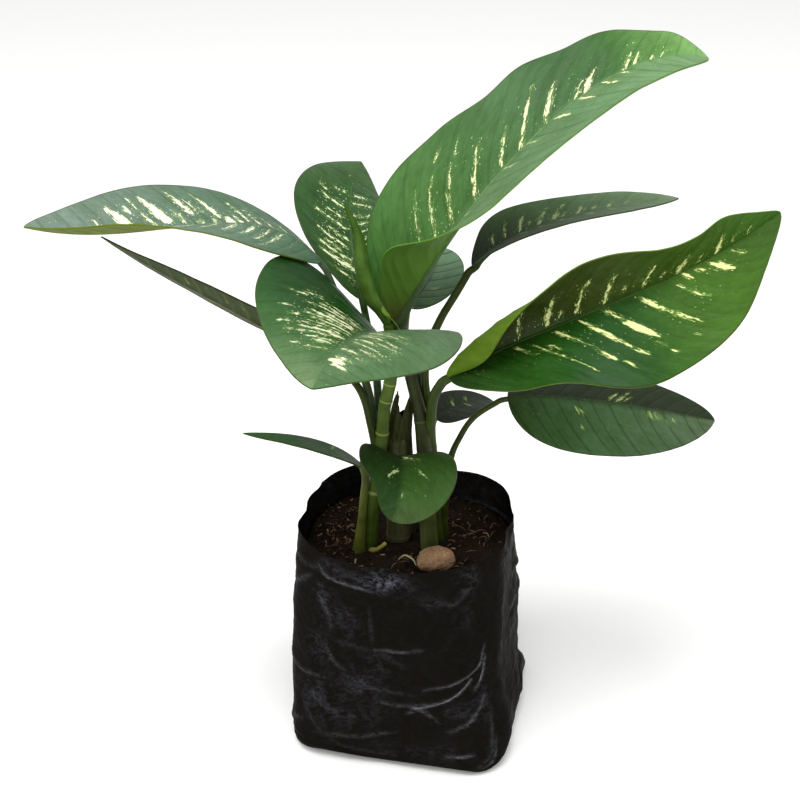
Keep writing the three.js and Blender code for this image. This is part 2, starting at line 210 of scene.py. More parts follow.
def add_values(piece, name, values):
    """Stores one number per vertex, which a material can read by its name."""
    attribute = piece.data.attributes.new(name, "FLOAT", "POINT")
    attribute.data.foreach_set("value", np.asarray(values, np.float32))


def thicken(piece, thickness):
    """Gives a sheet its thickness in millimetres, inwards from its outer side."""
    solidify = piece.modifiers.new("thickness", "SOLIDIFY")
    solidify.thickness = thickness * MM
    solidify.offset = -1
    return solidify


print("mesh helpers ready")

# %% [markdown]
# ## The leaves
# A blade is a flat sheet bent round its midrib. The midrib is a cubic curve through four control
# points in millimetres. `heading` is the compass direction in which the leaf points, `half` is its
# widest half width, reached at the fraction `widest` of its length, and `blunt` shapes the tip.
# On each side `lift` is the angle at which that half leaves the midrib, `curl` how much further it
# turns by its margin, `width` scales that half, `lobe` sets its base back from the midrib's start,
# `wave` gives its margin's waves and `veins` how far its veins lean. The stalk is a path from the
# cane to the blade with a `radius` at each of its points.

# %% Leaf shapes
LEAVES = {
    "top_right": {
        "midrib": [(-10, -4, 305), (23, 5, 369), (110, 30, 491), (189, 50, 466)],
        "heading": 14, "half": 56, "widest": 0.4, "blunt": 0.65,
        "right": {
            "lift": (88, 80, 73, 60, 38, 24, 17, 14, 12, 10, 8, 6, 5, 3, 2, 1, 0),
            "width": (0.6, 0.6, 0.78, 0.98, 1.04, 1, 1, 1, 1, 1, 1, 1, 1, 1, 1, 1, 1),
        },
        "left": {
            "lift": (55, 52, 45, 28, 10),
            "width": (0.9, 0.9, 1, 1.04, 0.88, 0.76, 0.88, 0.76, 0.93, 1.2, 2.2),
            "veins": (0.8, 0.25),
            "wave": (2.2, 3.5, 0.66),
        },
        "stalk": [(-7, 0, 294), (-8, -1, 298), (-9, -2, 302), (-10, -4, 305)],
        "radius": (5.4, 5.8, 6, 5.6),
    },
    "left": {
        "midrib": [(-58, 8, 343), (-102, 5, 400), (-167, -5, 353), (-244, -15, 377)],
        "heading": 186, "half": 44, "widest": 0.48, "blunt": 0.72,
        "right": {"lift": (-15, -5, 12, 28, 25)},
        "left": {"lift": (-16, -3, 18, 32, 30), "width": (0.8, 0.93, 1, 0.95, 0.8)},
        "stalk": [(-20, -4, 192), (-22, 1, 207), (-26, 4, 234), (-30, 6, 254), (-41, 8, 290),
                  (-49, 8, 319), (-58, 8, 343)],
        "radius": (3, 3, 2.9, 2.8, 2.6, 2.4, 2.2),
    },
    "left_low": {
        "midrib": [(-69, 20, 273), (-107, 20, 297), (-155, 15, 325), (-200, 10, 360)],
        "heading": 180, "half": 25, "widest": 0.36, "blunt": 0.95,
        "right": {"lift": (-30, -30)},
        "left": {"lift": (46, 44, 40)},
        "stalk": [(-24, -8, 195), (-24, -6, 211), (-28, -3, 233), (-32, 0, 248), (-38, 4, 257),
                  (-49, 12, 265), (-69, 20, 273)],
        "radius": (2.8, 2.8, 2.7, 2.6, 2.4, 2.2, 2),
    },
    "back_centre": {
        "midrib": [(-32, 5, 317), (-41, 20, 346), (-45, 60, 379), (-34, 105, 375)],
        "heading": 100, "half": 40, "widest": 0.62, "blunt": 0.42,
        "right": {"lift": (10, -30, -60)},
        "left": {"lift": (10, 10, 0), "width": (0.5, 0.7, 0.9, 0.95, 0.9, 0.9)},
        "stalk": [(-19, -3, 189), (-20, 4, 201), (-22, 9, 229), (-23, 10, 255), (-27, 8, 286),
                  (-32, 5, 317)],
        "radius": (2.8, 2.8, 2.8, 2.7, 2.5, 2.3),
    },
    "front": {
        "midrib": [(-19, -8, 296), (-29, -50, 327), (-51, -120, 346), (-57, -165, 341)],
        "heading": 251, "half": 66, "widest": 0.38, "blunt": 0.72,
        "right": {
            "lift": (40, 36, 25, 15, 10),
            "width": (0.92, 1.04, 1.12, 1.12, 1.07, 1, 0.9, 0.8, 0.72, 0.7),
        },
        "left": {
            "lift": (20, 14, 6, 2, 0),
            "curl": (-10, -20, -20, 0),
            "width": (1, 0.98, 0.97, 1),
            "lobe": 0,
        },
        "stalk": [(-13, -7, 275), (-15, -11, 287), (-17, -10, 293), (-19, -8, 296)],
        "radius": (2.8, 2.8, 2.7, 2.6),
    },
    "back_right": {
        "midrib": [(-3, 15, 308), (11, 35, 312), (19, 65, 313), (20, 100, 313)],
        "heading": 75, "half": 21, "widest": 0.5, "blunt": 0.5,
        "right": {"lift": (0, 0)},
        "left": {"lift": (30, 30, 20)},
        "stalk": [(11, -2, 215), (7, 6, 239), (3, 9, 264), (-4, 11, 286), (-3, 15, 308)],
        "radius": (3, 3, 2.8, 2.7, 2.5),
    },
    "right_arch": {
        "midrib": [(40, 25, 332), (61, 35, 357), (125, 50, 365), (178, 60, 366)],
        "heading": 10, "half": 30, "widest": 0.5, "blunt": 0.7, "lobe": 2,
        "right": {"lift": (20, 17, 12)},
        "left": {
            "lift": (15, 12, 8, 0, -5),
            "width": (0.7, 0.9, 1.15, 1.18, 1.05, 0.93, 0.9, 1.0, 1.1, 1.1, 1),
        },
        "stalk": [(12, 1, 218), (11, 3, 240), (9, 4, 260), (11, 8, 279), (19, 14, 298),
                  (30, 21, 315), (40, 25, 332)],
        "radius": (3, 3, 2.9, 2.8, 2.7, 2.6, 2.5),
    },
    "right": {
        "midrib": [(24, -10, 269), (86, -15, 312), (169, -30, 340), (225, -40, 397)],
        "heading": -5, "half": 60, "widest": 0.55, "blunt": 0.55,
        "right": {
            "lift": (-15, -25, -38, -45, -45),
            "width": (1.1, 0.96, 0.88, 0.87, 0.92, 1, 1.06, 1.06, 0.92, 0.66, 0.4),
            "wave": (2.5, 3, 0.2),
            "veins": (0.8, 0.25),
        },
        "left": {
            "lift": (30, 45, 72, 92, 104, 110, 115, 108, 100),
            "curl": (300, 250, 140, 70, 20, 5, 0, 0, 0),
            "width": (1.05, 1.12, 1.05, 0.92, 0.8, 0.72, 0.62, 0.46, 0.42, 0.55, 0.3),
        },
        "stalk": [(20, 4, 120), (18, 4, 137), (15, 3, 174), (14, 0, 206), (13, -5, 227),
                  (15, -9, 253), (24, -10, 269)],
        "radius": (5, 5, 4.4, 3.8, 3.5, 3.4, 3.2),
    },
    "right_low": {
        "midrib": [(65, 10, 243), (107, 10, 245), (161, 5, 235), (204, 0, 230)],
        "heading": 0, "half": 40, "widest": 0.45, "blunt": 0.6, "lobe": 1,
        "right": {
            "lift": (-38, -42, -40),
            "width": (1, 1, 0.97, 0.94, 0.93, 0.9, 0.85),
        },
        "left": {"lift": (5, 5)},
        "stalk": [(27, 10, 122), (23, 10, 145), (25, 9, 174), (27, 8, 195), (32, 8, 210),
                  (43, 9, 228), (65, 10, 243)],
        "radius": (3, 3, 2.6, 2.3, 2.1, 2, 1.9),
    },
    "back_small": {
        "midrib": [(17, 45, 208), (29, 60, 210), (46, 80, 205), (60, 90, 197)],
        "heading": 45, "half": 15, "widest": 0.4, "blunt": 0.7,
        "right": {"lift": (-10, -10)},
        "left": {"lift": (20, 20)},
        "stalk": [(13, 4, 203), (14, 12, 208), (15, 28, 209), (17, 45, 208)],
        "radius": (2.4, 2.3, 2.1, 2),
    },
    "left_small": {
        "midrib": [(-34, -10, 203), (-51, -15, 225), (-80, -25, 236), (-110, -35, 240)],
        "heading": 190, "half": 20, "widest": 0.45, "blunt": 0.8,
        "right": {"lift": (-30, -30)},
        "left": {"lift": (4, 4)},
        "stalk": [(-37, -11, 122), (-36, -11, 132), (-34, -11, 154), (-32, -11, 178),
                  (-31, -11, 192), (-34, -10, 203)],
        "radius": (5.4, 4.8, 3.2, 2.7, 2.4, 2.2),
    },
    "front_small": {
        "midrib": [(-7, -28, 218), (-4, -44, 217), (-6, -57, 202), (-13, -62, 189)],
        "heading": -97, "half": 32, "widest": 0.34, "blunt": 0.6, "lobe": 38,
        "right": {"lift": (0, 0), "width": (0.95, 0.9, 0.66, 0.62, 0.8)},
        "left": {"lift": (0, 0), "width": (1.12, 1.12, 1.08, 1), "lobe": 6},
        "stalk": [(-8, 0, 164), (-7, -8, 182), (-6, -18, 204), (-7, -28, 218)],
        "radius": (2.6, 2.5, 2.4, 2.3),
    },
}

print(len(LEAVES), "leaves described")

# %% [markdown]
# Each half of a blade is a strip that leaves the midrib at its lift angle and bends on at a steady
# rate. The veins leave the midrib forwards and curve towards the tip, so the place of a vein is
# told by `q`, the fraction of the midrib where it starts. The blade is sunken a little along each
# vein and swells between two of them, which gives the leaf its soft pleats.

# %% Blade surface
VEIN_SPACING = 12
VEIN_SLANT = 0.8  # the distance between two veins, as a share of that between their starts
VEIN_LEAN = (0.45, 0.25)  # how far a vein runs forwards by the margin, straight and curving
PLEAT_HEIGHT = 0.65
PLAIN_VEINS = (0.18, 0.18)
# How strong the pleats and the painted shade along the veins are.
VEIN_STRENGTH = {  # of the left and right halves
    "back_right": (0.1, 1.0), "top_right": (0.4, 0.4), "left": (0.35, 0.35), "front": (0.25, 0.25),
    "back_centre": (0.25, 0.25), "right_low": (0.3, 0.5), "right_arch": (0.3, 0.3),
}


def half_width(leaf, s):
    base_power = leaf["blunt"] * leaf["widest"] / (1 - leaf["widest"])
    rise = (s / leaf["widest"]) ** base_power
    fall = ((1 - s) / (1 - leaf["widest"])) ** leaf["blunt"]
    return leaf["half"] * rise * fall


def midrib_frame(leaf, s):
    """Points on the midrib, with the directions forwards, to the right and to the upper side."""
    p = np.array(leaf["midrib"], float)
    f = s[:, None]
    g = 1 - f
    points = g**3 * p[0] + 3 * g**2 * f * p[1] + 3 * g * f**2 * p[2] + f**3 * p[3]
    steps = np.diff(p, axis=0)
    forward = unit(g**2 * steps[0] + 2 * g * f * steps[1] + f**2 * steps[2])
    heading = math.radians(leaf["heading"])
    right = np.array([math.sin(heading), -math.cos(heading), 0])
    right = unit(right - (forward @ right)[:, None] * forward)
    return points, forward, right, np.cross(right, forward)


def midrib_length(leaf):
    return path_length(midrib_frame(leaf, np.linspace(0, 1, 60))[0])


def vein_place(leaf, s, t):
    """The fraction q of the midrib at which the vein through each point starts."""
    a = np.abs(t)
    lean = zip(leaf["left"].get("veins", VEIN_LEAN), leaf["right"].get("veins", VEIN_LEAN))
    straight, curving = [np.where(t < 0, left, right) for left, right in lean]
    return s - half_width(leaf, s) * (straight * a + curving * a**2) / midrib_length(leaf)


def blade_points(leaf, s, t):
    """Surface points: s from base to tip, t from -1 at the left margin to 1 at the right one."""
    points, forward, right, up = midrib_frame(leaf, s)
    a = np.abs(t)
    moves = np.zeros((3, len(s), 1))
    for side, sign in (("left", -1), ("right", 1)):
        half = leaf[side]
        chosen = (t * sign > 0) | ((t == 0) & (sign > 0))
        lift = np.radians(along(half["lift"], s))
        curl = np.radians(along(half.get("curl", (0, 0)), s))
        curl = np.where(np.abs(curl) < 1e-4, 1e-4, curl)
        width = half_width(leaf, s) * along(half.get("width", (1, 1)), s)
        height, count, phase = half.get("wave", (0, 0, 0))
        fade = np.clip(1.5 * np.sin(np.pi * s), 0, 1)
        wave = height * np.sin(2 * np.pi * (count * s + phase)) * a**2 * fade
        outward = sign * width * (np.sin(lift + curl * a) - np.sin(lift)) / curl
        upward = width * (np.cos(lift) - np.cos(lift + curl * a)) / curl + wave
        back = half.get("lobe", leaf.get("lobe", 6)) * a * width / leaf["half"] * (1 - s) ** 4
        moves = np.where(chosen[:, None], np.stack([outward, upward, back])[:, :, None], moves)
    return points + moves[0] * right + moves[1] * up - moves[2] * forward


def blade_normals(leaf, s, t):
    step = 0.004
    s, t = np.clip(s, 0.02, 0.98), np.clip(t, -0.98, 0.98)
    lengthwise = blade_points(leaf, s + step, t) - blade_points(leaf, s - step, t)
    crosswise = blade_points(leaf, s, t + step) - blade_points(leaf, s, t - step)
    return unit(np.cross(crosswise, lengthwise))


print("longest midrib", round(max(midrib_length(leaf) for leaf in LEAVES.values())), "mm")

# %% [markdown]
# ## Cream streaks
# The cream parts of the leaf have no green in them. They run along the veins, thick near the
# midrib and torn to thin ends. Each streak is written as where its vein starts (`q`), how far out
# it begins and ends as fractions of the half width, and its width in millimetres.
# A vertex stores its distance inside the nearest streak, which the material reads with noise added.

# %% Streaks read from each leaf
STREAKS = {
    "top_right": {
        "left": [
            (0.165, 0.3, 0.65, 1.5), (0.215, 0.08, 0.6, 2), (0.215, 0.72, 0.8, 3), (0.27, 0.1, 0.55, 2.5),
            (0.275, 0.6, 0.75, 1.2), (0.345, 0.03, 0.55, 3), (0.425, 0.05, 0.42, 2.5), (0.485, 0, 0.6, 3),
            (0.485, 0.02, 0.12, 5), (0.485, 0.3, 0.4, 4.5), (0.555, 0, 0.45, 3.2), (0.558, 0.12, 0.3, 6),
            (0.665, 0, 0.32, 6), (0.64, 0.05, 0.25, 3), (0.77, 0, 0.36, 3.5), (0.795, 0.05, 0.3, 2.5),
            (0.76, 0.57, 0.64, 2), (0.84, 0.02, 0.12, 2.5), (0.87, 0.05, 0.25, 1.6),
        ],
        "right": [
            (0.3, 0.05, 0.3, 1.5), (0.43, 0.05, 0.35, 2), (0.5, 0.04, 0.3, 2), (0.58, 0.04, 0.3, 2.5),
            (0.645, 0.03, 0.3, 3), (0.71, 0.03, 0.3, 2.5), (0.76, 0.05, 0.2, 2),
        ],
    },
    "left": {
        "right": [
            (0.70, 0.15, 0.45, 10), (0.71, 0.4, 0.62, 4), (0.655, 0.4, 0.6, 3), (0.57, 0.15, 0.6, 9),
            (0.575, 0.55, 0.76, 4), (0.47, 0.3, 0.8, 4.5), (0.39, 0.2, 0.8, 4.5), (0.365, 0, 0.2, 7),
            (0.33, 0.02, 0.3, 3), (0.2, 0.1, 0.5, 1.6), (0.25, 0.1, 0.6, 1.6), (0.42, 0, 0.12, 3),
            (0.47, 0, 0.12, 3), (0.52, 0.02, 0.4, 2.4), (0.62, 0.05, 0.4, 3), (0.78, 0.1, 0.35, 3),
            (0.14, 0.2, 0.5, 1.2), (0.29, 0.15, 0.7, 1.6), (0.44, 0.3, 0.7, 1.5), (0.62, 0.5, 0.75, 1.5),
        ],
        "left": [
            (0.28, 0.1, 0.5, 3.5), (0.22, 0.15, 0.6, 1.5), (0.17, 0.1, 0.8, 2), (0.35, 0.05, 0.5, 2.5),
            (0.42, 0.05, 0.5, 2.5), (0.5, 0.05, 0.5, 3), (0.57, 0.05, 0.45, 2.5), (0.64, 0.05, 0.4, 3),
        ],
    },
    "left_low": {
        "left": [
            (0.1, 0.5, 0.95, 1.5), (0.18, 0.4, 0.9, 2), (0.25, 0.5, 0.95, 1.5), (0.33, 0.3, 0.8, 2),
            (0.41, 0.4, 0.9, 2), (0.5, 0.3, 0.8, 1.6), (0.6, 0.3, 0.8, 1.6),
        ],
        "right": [
            (0.12, 0.1, 0.6, 2), (0.2, 0.1, 0.6, 2.5), (0.29, 0.1, 0.6, 2.5), (0.37, 0.1, 0.6, 2.5),
            (0.46, 0.1, 0.6, 3), (0.55, 0.1, 0.6, 2.5), (0.64, 0.1, 0.5, 2.5),
        ],
    },
    "back_centre": {
        "left": [
            (0.19, 0.05, 0.8, 4), (0.235, 0.08, 0.75, 2), (0.31, 0.1, 0.65, 1.7), (0.31, 0.4, 0.5, 2.6),
            (0.36, 0.1, 0.45, 1.3), (0.42, 0.08, 0.6, 1.5), (0.48, 0.1, 0.4, 1.2), (0.55, 0.08, 0.5, 1.5),
            (0.65, 0.1, 0.3, 1.4), (0.12, 0.2, 0.8, 1.4), (0.6, 0.45, 0.6, 1.2), (0.27, 0.3, 0.6, 1.2),
        ],
        "right": [
            (0.2, 0.1, 0.5, 1.8), (0.3, 0.15, 0.4, 2.6), (0.35, 0.08, 0.6, 1.6), (0.4, 0.1, 0.5, 1.4),
            (0.45, 0.08, 0.6, 2.2), (0.51, 0.1, 0.5, 1.5), (0.6, 0.08, 0.5, 1.8), (0.66, 0.1, 0.4, 1.3),
        ],
    },
    "front": {
        "right": [
            (0.24, 0.1, 0.4, 1.6), (0.27, 0.06, 0.42, 1.8), (0.30, 0.1, 0.5, 2.2), (0.33, 0.05, 0.35, 2.6),
            (0.355, 0.06, 0.45, 4.2), (0.385, 0.1, 0.5, 2.4), (0.41, 0.05, 0.4, 2.6), (0.44, 0.05, 0.42, 2),
            (0.47, 0.1, 0.5, 1.6), (0.50, 0.04, 0.48, 4.2), (0.505, 0.05, 0.2, 6), (0.535, 0.15, 0.5, 2),
            (0.57, 0.05, 0.4, 2), (0.60, 0.1, 0.3, 4), (0.42, 0.52, 0.62, 1.8), (0.53, 0.56, 0.68, 2),
            (0.22, 0.45, 0.6, 1.4), (0.25, 0.56, 0.7, 1.4), (0.36, 0.6, 0.75, 1.2), (0.66, 0.1, 0.4, 2.5),
            (0.47, 0.6, 0.75, 1.2), (0.63, 0.45, 0.6, 1.4),
        ],
        "left": [
            (0.28, 0.12, 0.5, 1.6), (0.32, 0.1, 0.55, 2), (0.36, 0.08, 0.3, 3.4), (0.4, 0.1, 0.55, 2.4),
            (0.44, 0.25, 0.62, 1.8), (0.47, 0.08, 0.35, 3.4), (0.52, 0.1, 0.55, 2.4), (0.57, 0.25, 0.6, 2.4),
            (0.62, 0.08, 0.3, 3), (0.66, 0.3, 0.5, 1.6), (0.745, 0.06, 0.28, 9), (0.71, 0.1, 0.35, 4),
            (0.78, 0.12, 0.4, 4),
        ],
    },
    "back_right": {"right": [(0.3, 0.2, 0.5, 1.2)], "left": [(0.4, 0.2, 0.5, 1.2)]},
    "right_arch": {
        "left": [
            (0.17, 0.1, 0.45, 1.4), (0.24, 0.1, 0.5, 1.6), (0.32, 0.08, 0.52, 3.2), (0.36, 0.1, 0.25, 1.5),
            (0.41, 0.08, 0.62, 2.8), (0.48, 0.05, 0.3, 4.5), (0.48, 0.3, 0.6, 1.4), (0.52, 0.1, 0.3, 2.2),
            (0.58, 0.08, 0.4, 2.4), (0.6, 0.1, 0.3, 2), (0.645, 0.08, 0.3, 2.2), (0.71, 0.08, 0.35, 2.4),
            (0.78, 0.08, 0.3, 1.8),
        ],
        "right": [
            (0.3, 0.1, 0.4, 2), (0.4, 0.1, 0.4, 2), (0.5, 0.1, 0.4, 2.5), (0.6, 0.1, 0.4, 2),
            (0.7, 0.1, 0.3, 2),
        ],
    },
    "right": {
        "left": [
            (0.23, 0.05, 0.45, 1.4), (0.315, 0.05, 0.5, 3.6), (0.315, 0.15, 0.28, 5), (0.35, 0.1, 0.2, 2),
            (0.40, 0.05, 0.55, 2.3), (0.40, 0.48, 0.58, 3.6), (0.48, 0.05, 0.5, 3), (0.59, 0.05, 0.55, 2.5),
            (0.69, 0, 0.45, 4.6), (0.80, 0.05, 0.5, 3.6), (0.90, 0.05, 0.25, 2), (0.53, 0.1, 0.25, 1.4),
            (0.64, 0.1, 0.25, 1.4), (0.745, 0.05, 0.3, 1.6), (0.85, 0.1, 0.3, 1.6),
        ],
        "right": [
            (0.20, 0.12, 0.35, 2.5), (0.235, 0.2, 0.8, 1.3), (0.32, 0.1, 0.3, 4), (0.325, 0.28, 0.52, 1.2),
            (0.32, 0.55, 0.66, 4), (0.33, 0.71, 0.78, 2), (0.395, 0.08, 0.68, 3), (0.395, 0.2, 0.5, 4.6),
            (0.47, 0.08, 0.26, 3.4), (0.47, 0.28, 0.54, 7), (0.565, 0.1, 0.3, 5), (0.57, 0.33, 0.62, 3.4),
            (0.66, 0.12, 0.42, 2), (0.70, 0.04, 0.14, 4), (0.735, 0.05, 0.15, 4), (0.77, 0.1, 0.36, 6),
            (0.45, 0.58, 0.66, 2), (0.44, 0.74, 0.8, 2), (0.83, 0.1, 0.3, 2), (0.26, 0.3, 0.4, 1.4),
            (0.52, 0.7, 0.75, 1.6),
        ],
    },
    "right_low": {
        "right": [
            (0.32, 0.15, 0.26, 2.6), (0.34, 0.2, 0.3, 1.5), (0.67, 0.06, 0.18, 3), (0.7, 0.06, 0.2, 2),
            (0.72, 0.1, 0.2, 2), (0.78, 0.12, 0.2, 2), (0.3, 0.5, 0.54, 1.4), (0.74, 0.2, 0.3, 1.4),
        ],
        "left": [(0.48, 0.1, 0.35, 1.8), (0.52, 0.08, 0.4, 2.2), (0.55, 0.15, 0.3, 1.5)],
    },
    "back_small": {"right": [(0.5, 0.1, 0.4, 1.6)], "left": [(0.35, 0.1, 0.4, 2), (0.55, 0.1, 0.4, 2)]},
    "left_small": {"left": [(0.3, 0.1, 0.4, 1.4)], "right": [(0.2, 0.3, 0.6, 1.4), (0.35, 0.3, 0.6, 1.2)]},
    "front_small": {
        "right": [(0.25, 0.13, 0.32, 2), (0.24, 0.3, 0.4, 1.2)],
        "left": [(0.03, 0.1, 0.2, 1.6), (0.03, 0.22, 0.35, 1.2), (0.6, 0, 0.06, 2.6), (0.2, 0.3, 0.45, 0.9)],
    },
}


def depth_in_streaks(name, leaf, s, t, q):
    """How deep each point lies inside a cream streak, in millimetres, and below 0 outside."""
    length = midrib_length(leaf)
    a = np.abs(t)
    depth = np.full(len(s), -6.0)
    for side, chosen in (("left", t < 0), ("right", t >= 0)):
        for start_q, near, far, width in STREAKS[name].get(side, []):
            share = np.clip((a - near) / (far - near), 0, 1)
            taper = np.sin(np.pi * (0.12 + 0.83 * share) ** 0.75) ** 0.6
            beyond = np.maximum(near - a, a - far) * half_width(leaf, s)
            across = np.abs(q - start_q) * length * VEIN_SLANT
            inside = 0.36 * width * taper + 0.25 - np.hypot(across, np.maximum(beyond, 0))
            depth = np.where(chosen, np.maximum(depth, inside), depth)
    return depth


print(sum(len(rows) for sides in STREAKS.values() for rows in sides.values()), "streaks placed")

# %% [markdown]
# ## Leaf skin
# A dieffenbachia leaf has a smooth, waxy skin with a satin gloss. The green, with light and shade
# painted into it, differs from leaf to leaf and from base to margin, so it is stored on the vertices.
# Noise drawn out along the veins adds the paler flecks, and the same noise tears the edges of the
# cream streaks.


# %% Leaf materials
def leaf_skin():
    # Waxed leaf skin, grown: a satin sheen over green cells, with none of the green in the streaks.
    material, node = new_material("waxy_leaf_upper", 0.45, 0.16)
    # green holds each leaf's colour with its light and shade painted in.
    green, tint = [
        node("Attribute", {"attribute_name": name}, out="Color") for name in ("green", "cream_tint")
    ]
    cream_depth, vein, vein_strength, margin, speck_amount = [
        node("Attribute", {"attribute_name": name}, out="Fac")
        for name in ("cream", "vein", "vein_strength", "margin", "specks")
    ]
    uv = node("UVMap", {"uv_map": "veins"})

    # Noise that follows the veins: 2 mm across them and 5 mm along them.
    drawn_out = node("Mapping", {}, uv, Scale=(1 / 0.002, 1 / 0.005, 1))
    torn = node("TexNoise", {}, drawn_out, Scale=1.0, Detail=4.0, Roughness=0.7, Distortion=0.4)
    torn = node("Math", TIMES_PLUS, torn, 9.0, -5.1)
    edge = node("Math", PLUS, cream_depth, torn)
    cream = node("MapRange", SMOOTH, edge, -0.15, 0.3)
    halo = node("MapRange", SMOOTH, edge, -1.3, 0.1, 0.0, 0.5)

    # Specks of half a millimetre to one millimetre, thickest beside the streaks.
    fine = node("Mapping", {}, uv, Scale=(1 / 0.001, 1 / 0.002, 1))
    dots = node("Math", PLUS, node("TexNoise", {}, fine, Scale=1.0, Detail=1.0), speck_amount)
    dots = node("MapRange", SMOOTH, dots, 0.75, 0.83)

    # Broad clouds of 20 mm, mottling of 4 mm, and paler flecks drawn out along the veins.
    clouds = node("TexNoise", {}, uv, Scale=50.0, Detail=3.0)
    mottle = node("TexNoise", {}, uv, Scale=250.0, Detail=4.0, Roughness=0.65)
    both = node("Math", PLUS, node("Math", TIMES_PLUS, mottle, 0.9, 0.05), clouds)
    shade = node("MapRange", {}, both, 0.65, 1.35)
    darker = node("Mix", MULTIPLY, 1.0, green, "#c4cbae")
    lighter = node("Mix", SCREEN, 1.0, green, "#101a10")
    skin = node("Mix", BLEND, shade, darker, lighter)
    skin = node("Mix", SCREEN, node("MapRange", {}, torn, -0.6, 1.6, 0.0, 0.08), skin, "#5f7450")

    # Over the skin lie a painted shade along the sunken veins, a pale halo, the cream and a brown rim 1 mm
    # wide.
    vein_shade = node("MapRange", SMOOTH, vein, 0.0, 1.2, 1.0, 0.0)
    skin = node("Mix", MULTIPLY, node("Math", TIMES, vein_shade, vein_strength), skin, "#98a585")
    skin = node("Mix", BLEND, halo, skin, "#7d9a4a")
    skin = node("Mix", BLEND, node("Math", LARGER, cream, dots), skin, tint)
    skin = node("Mix", BLEND, node("MapRange", SMOOTH, margin, 0.3, 1.0, 0.6, 0.0), skin, "#3a3a1c")
    gloss = node("MapRange", {}, clouds, 0.3, 0.7, 0.36, 0.5)
    pores = node("TexNoise", {}, uv, Scale=900.0, Detail=2.0)
    return finish_material(material, skin, node("Math", TIMES_PLUS, torn, 0.15, pores), 0.25, 0.0003, gloss)


def leaf_underside():
    # The underside has no wax: it is matt and paler, and its veins stand out as light lines.
    material, node = new_material("matt_leaf_under", 0.6, 0.1)
    green = node("Attribute", {"attribute_name": "under"}, out="Color")
    vein, cream_depth = [
        node("Attribute", {"attribute_name": name}, out="Fac") for name in ("vein", "cream")
    ]
    drawn_out = node("Mapping", {}, node("UVMap", {"uv_map": "veins"}), Scale=(1 / 0.003, 1 / 0.012, 1))
    fibres = node("TexNoise", {}, drawn_out, Scale=1.0, Detail=3.0)
    skin = node("Mix", MULTIPLY, fibres, green, "#c4cbae")
    skin = node("Mix", BLEND, node("MapRange", SMOOTH, vein, 0.2, 1.2, 0.18, 0.0), skin, "#5f7432")
    # The cream shows through faintly.
    edge = node("Math", PLUS, cream_depth, node("Math", TIMES_PLUS, fibres, 4.0, -2.2))
    skin = node("Mix", BLEND, node("MapRange", SMOOTH, edge, -0.2, 0.6, 0.0, 0.25), skin, "#a3ad55")
    return finish_material(material, skin, fibres, 0.3, 0.0003)


LEAF_SKINS = [leaf_skin(), leaf_underside()]
print("leaf materials made")

# %% [markdown]
# ## Greens
# The greens are partly painted light and shade: where a leaf lies flat to the light it is painted
# hazy green, where it lies in the shade it is painted deep green, and young leaves are yellower. Each
# leaf has a row of greens from base to tip for its left half and one for its right half. `under` is
# its underside, `cream` the tint of its streaks, and `specks` how thickly it is dotted with cream.

# %% Leaf colours
UNDER_SPAN = 0.25  # the part of the midrib along which a row for the underside is spread
# Each row is a leaf's own green with painted light and shade in it.
GREENS_WITH_PAINTED_LIGHT = {
    # left half, right half, under, cream, specks
    "top_right": (
        "#3b6a29 #436b32 #406437 #375d2b #74a35b", "#728b5f #5e7c59 #6b8f5e",
        "#4c4a20 #577d2e #577d2e", "#dcd9ac", 0.06,
    ),
    "left": ("#44634a #5d7565 #718179", "#44634a #576e5e #718179", "#5c6a07", "#dfddbf", 0.09),
    "left_low": ("#283608 #333f0c", "#283608 #333f0c", "#2c380a", "#a8a848", 0.08),
    "back_centre": ("#294615 #25451c #355429", "#294814 #2e5325 #355628", "#324a1c", "#cdd3aa", 0.09),
    "front": ("#4a6645 #4f6c4a #4a6944", "#0e3f03 #0e3a04 #3b6033 #6b825d", "#35501f", "#d2d0ae", 0.09),
    "back_right": ("#42534a #4d5d58", "#4f704b #618167", "#3c5236", "#8a9678", 0.0),
    "right_arch": (
        "#0c1501 #354c28 #64825c #86a480", "#0c1501 #4a613e #7e9979", "#3f5030", "#a8b48c", 0.06,
    ),
    "right": (
        "#37370e #2c360c #32410d #37540a #35610d", "#264214 #1e4805 #124101 #375d07 #2b4a03",
        "#567219", "#d3d690", 0.06,
    ),
    "right_low": ("#131d02 #192708 #1f2e0e", "#273d0e #496944 #61755a", "#27370f", "#99a86a", 0.03),
    "back_small": ("#0e1802 #142003", "#0e1802 #142003", "#242e14", "#8a9466", 0.05),
    "left_small": ("#1d4a0e #204e10", "#1d4a0e #204e10", "#304414", "#8c9a62", 0.03),
    "front_small": ("#2a4111 #375a1f #45572c", "#1c2d09 #244012 #284517", "#2f4718", "#bac898", 0.03),
}


def painted_row(row, fraction):
    return along([colour(value) for value in row.split()], fraction)


def paint_leaf(piece, name, s, t):
    left, right, under, cream, _ = GREENS_WITH_PAINTED_LIGHT[name]
    side = np.clip(t * 6 + 0.5, 0, 1)[:, None]
    colours = {
        "green": painted_row(left, s) * (1 - side) + painted_row(right, s) * side,
        "under": painted_row(under, s / UNDER_SPAN),
        "cream_tint": painted_row(cream, s),
    }
    for key, values in colours.items():
        attribute = piece.data.color_attributes.new(key, "FLOAT_COLOR", "POINT")
        attribute.data.foreach_set("color", np.clip(values, 0, 1).astype(np.float32).ravel())


print(len(GREENS_WITH_PAINTED_LIGHT), "leaves have their greens")

# %% [markdown]
# A blade starts as a flat grid whose rows are closer together near the base and the tip, where the
# outline turns quickly. Its vertices are moved to the blade's surface, and Solidify gives it its
# thickness with the underside as a second material. Each vertex stores what the skin reads there:
# its green with light and shade painted in, its distance from a vein, from a streak and from the
# margin, and how speckled it is.

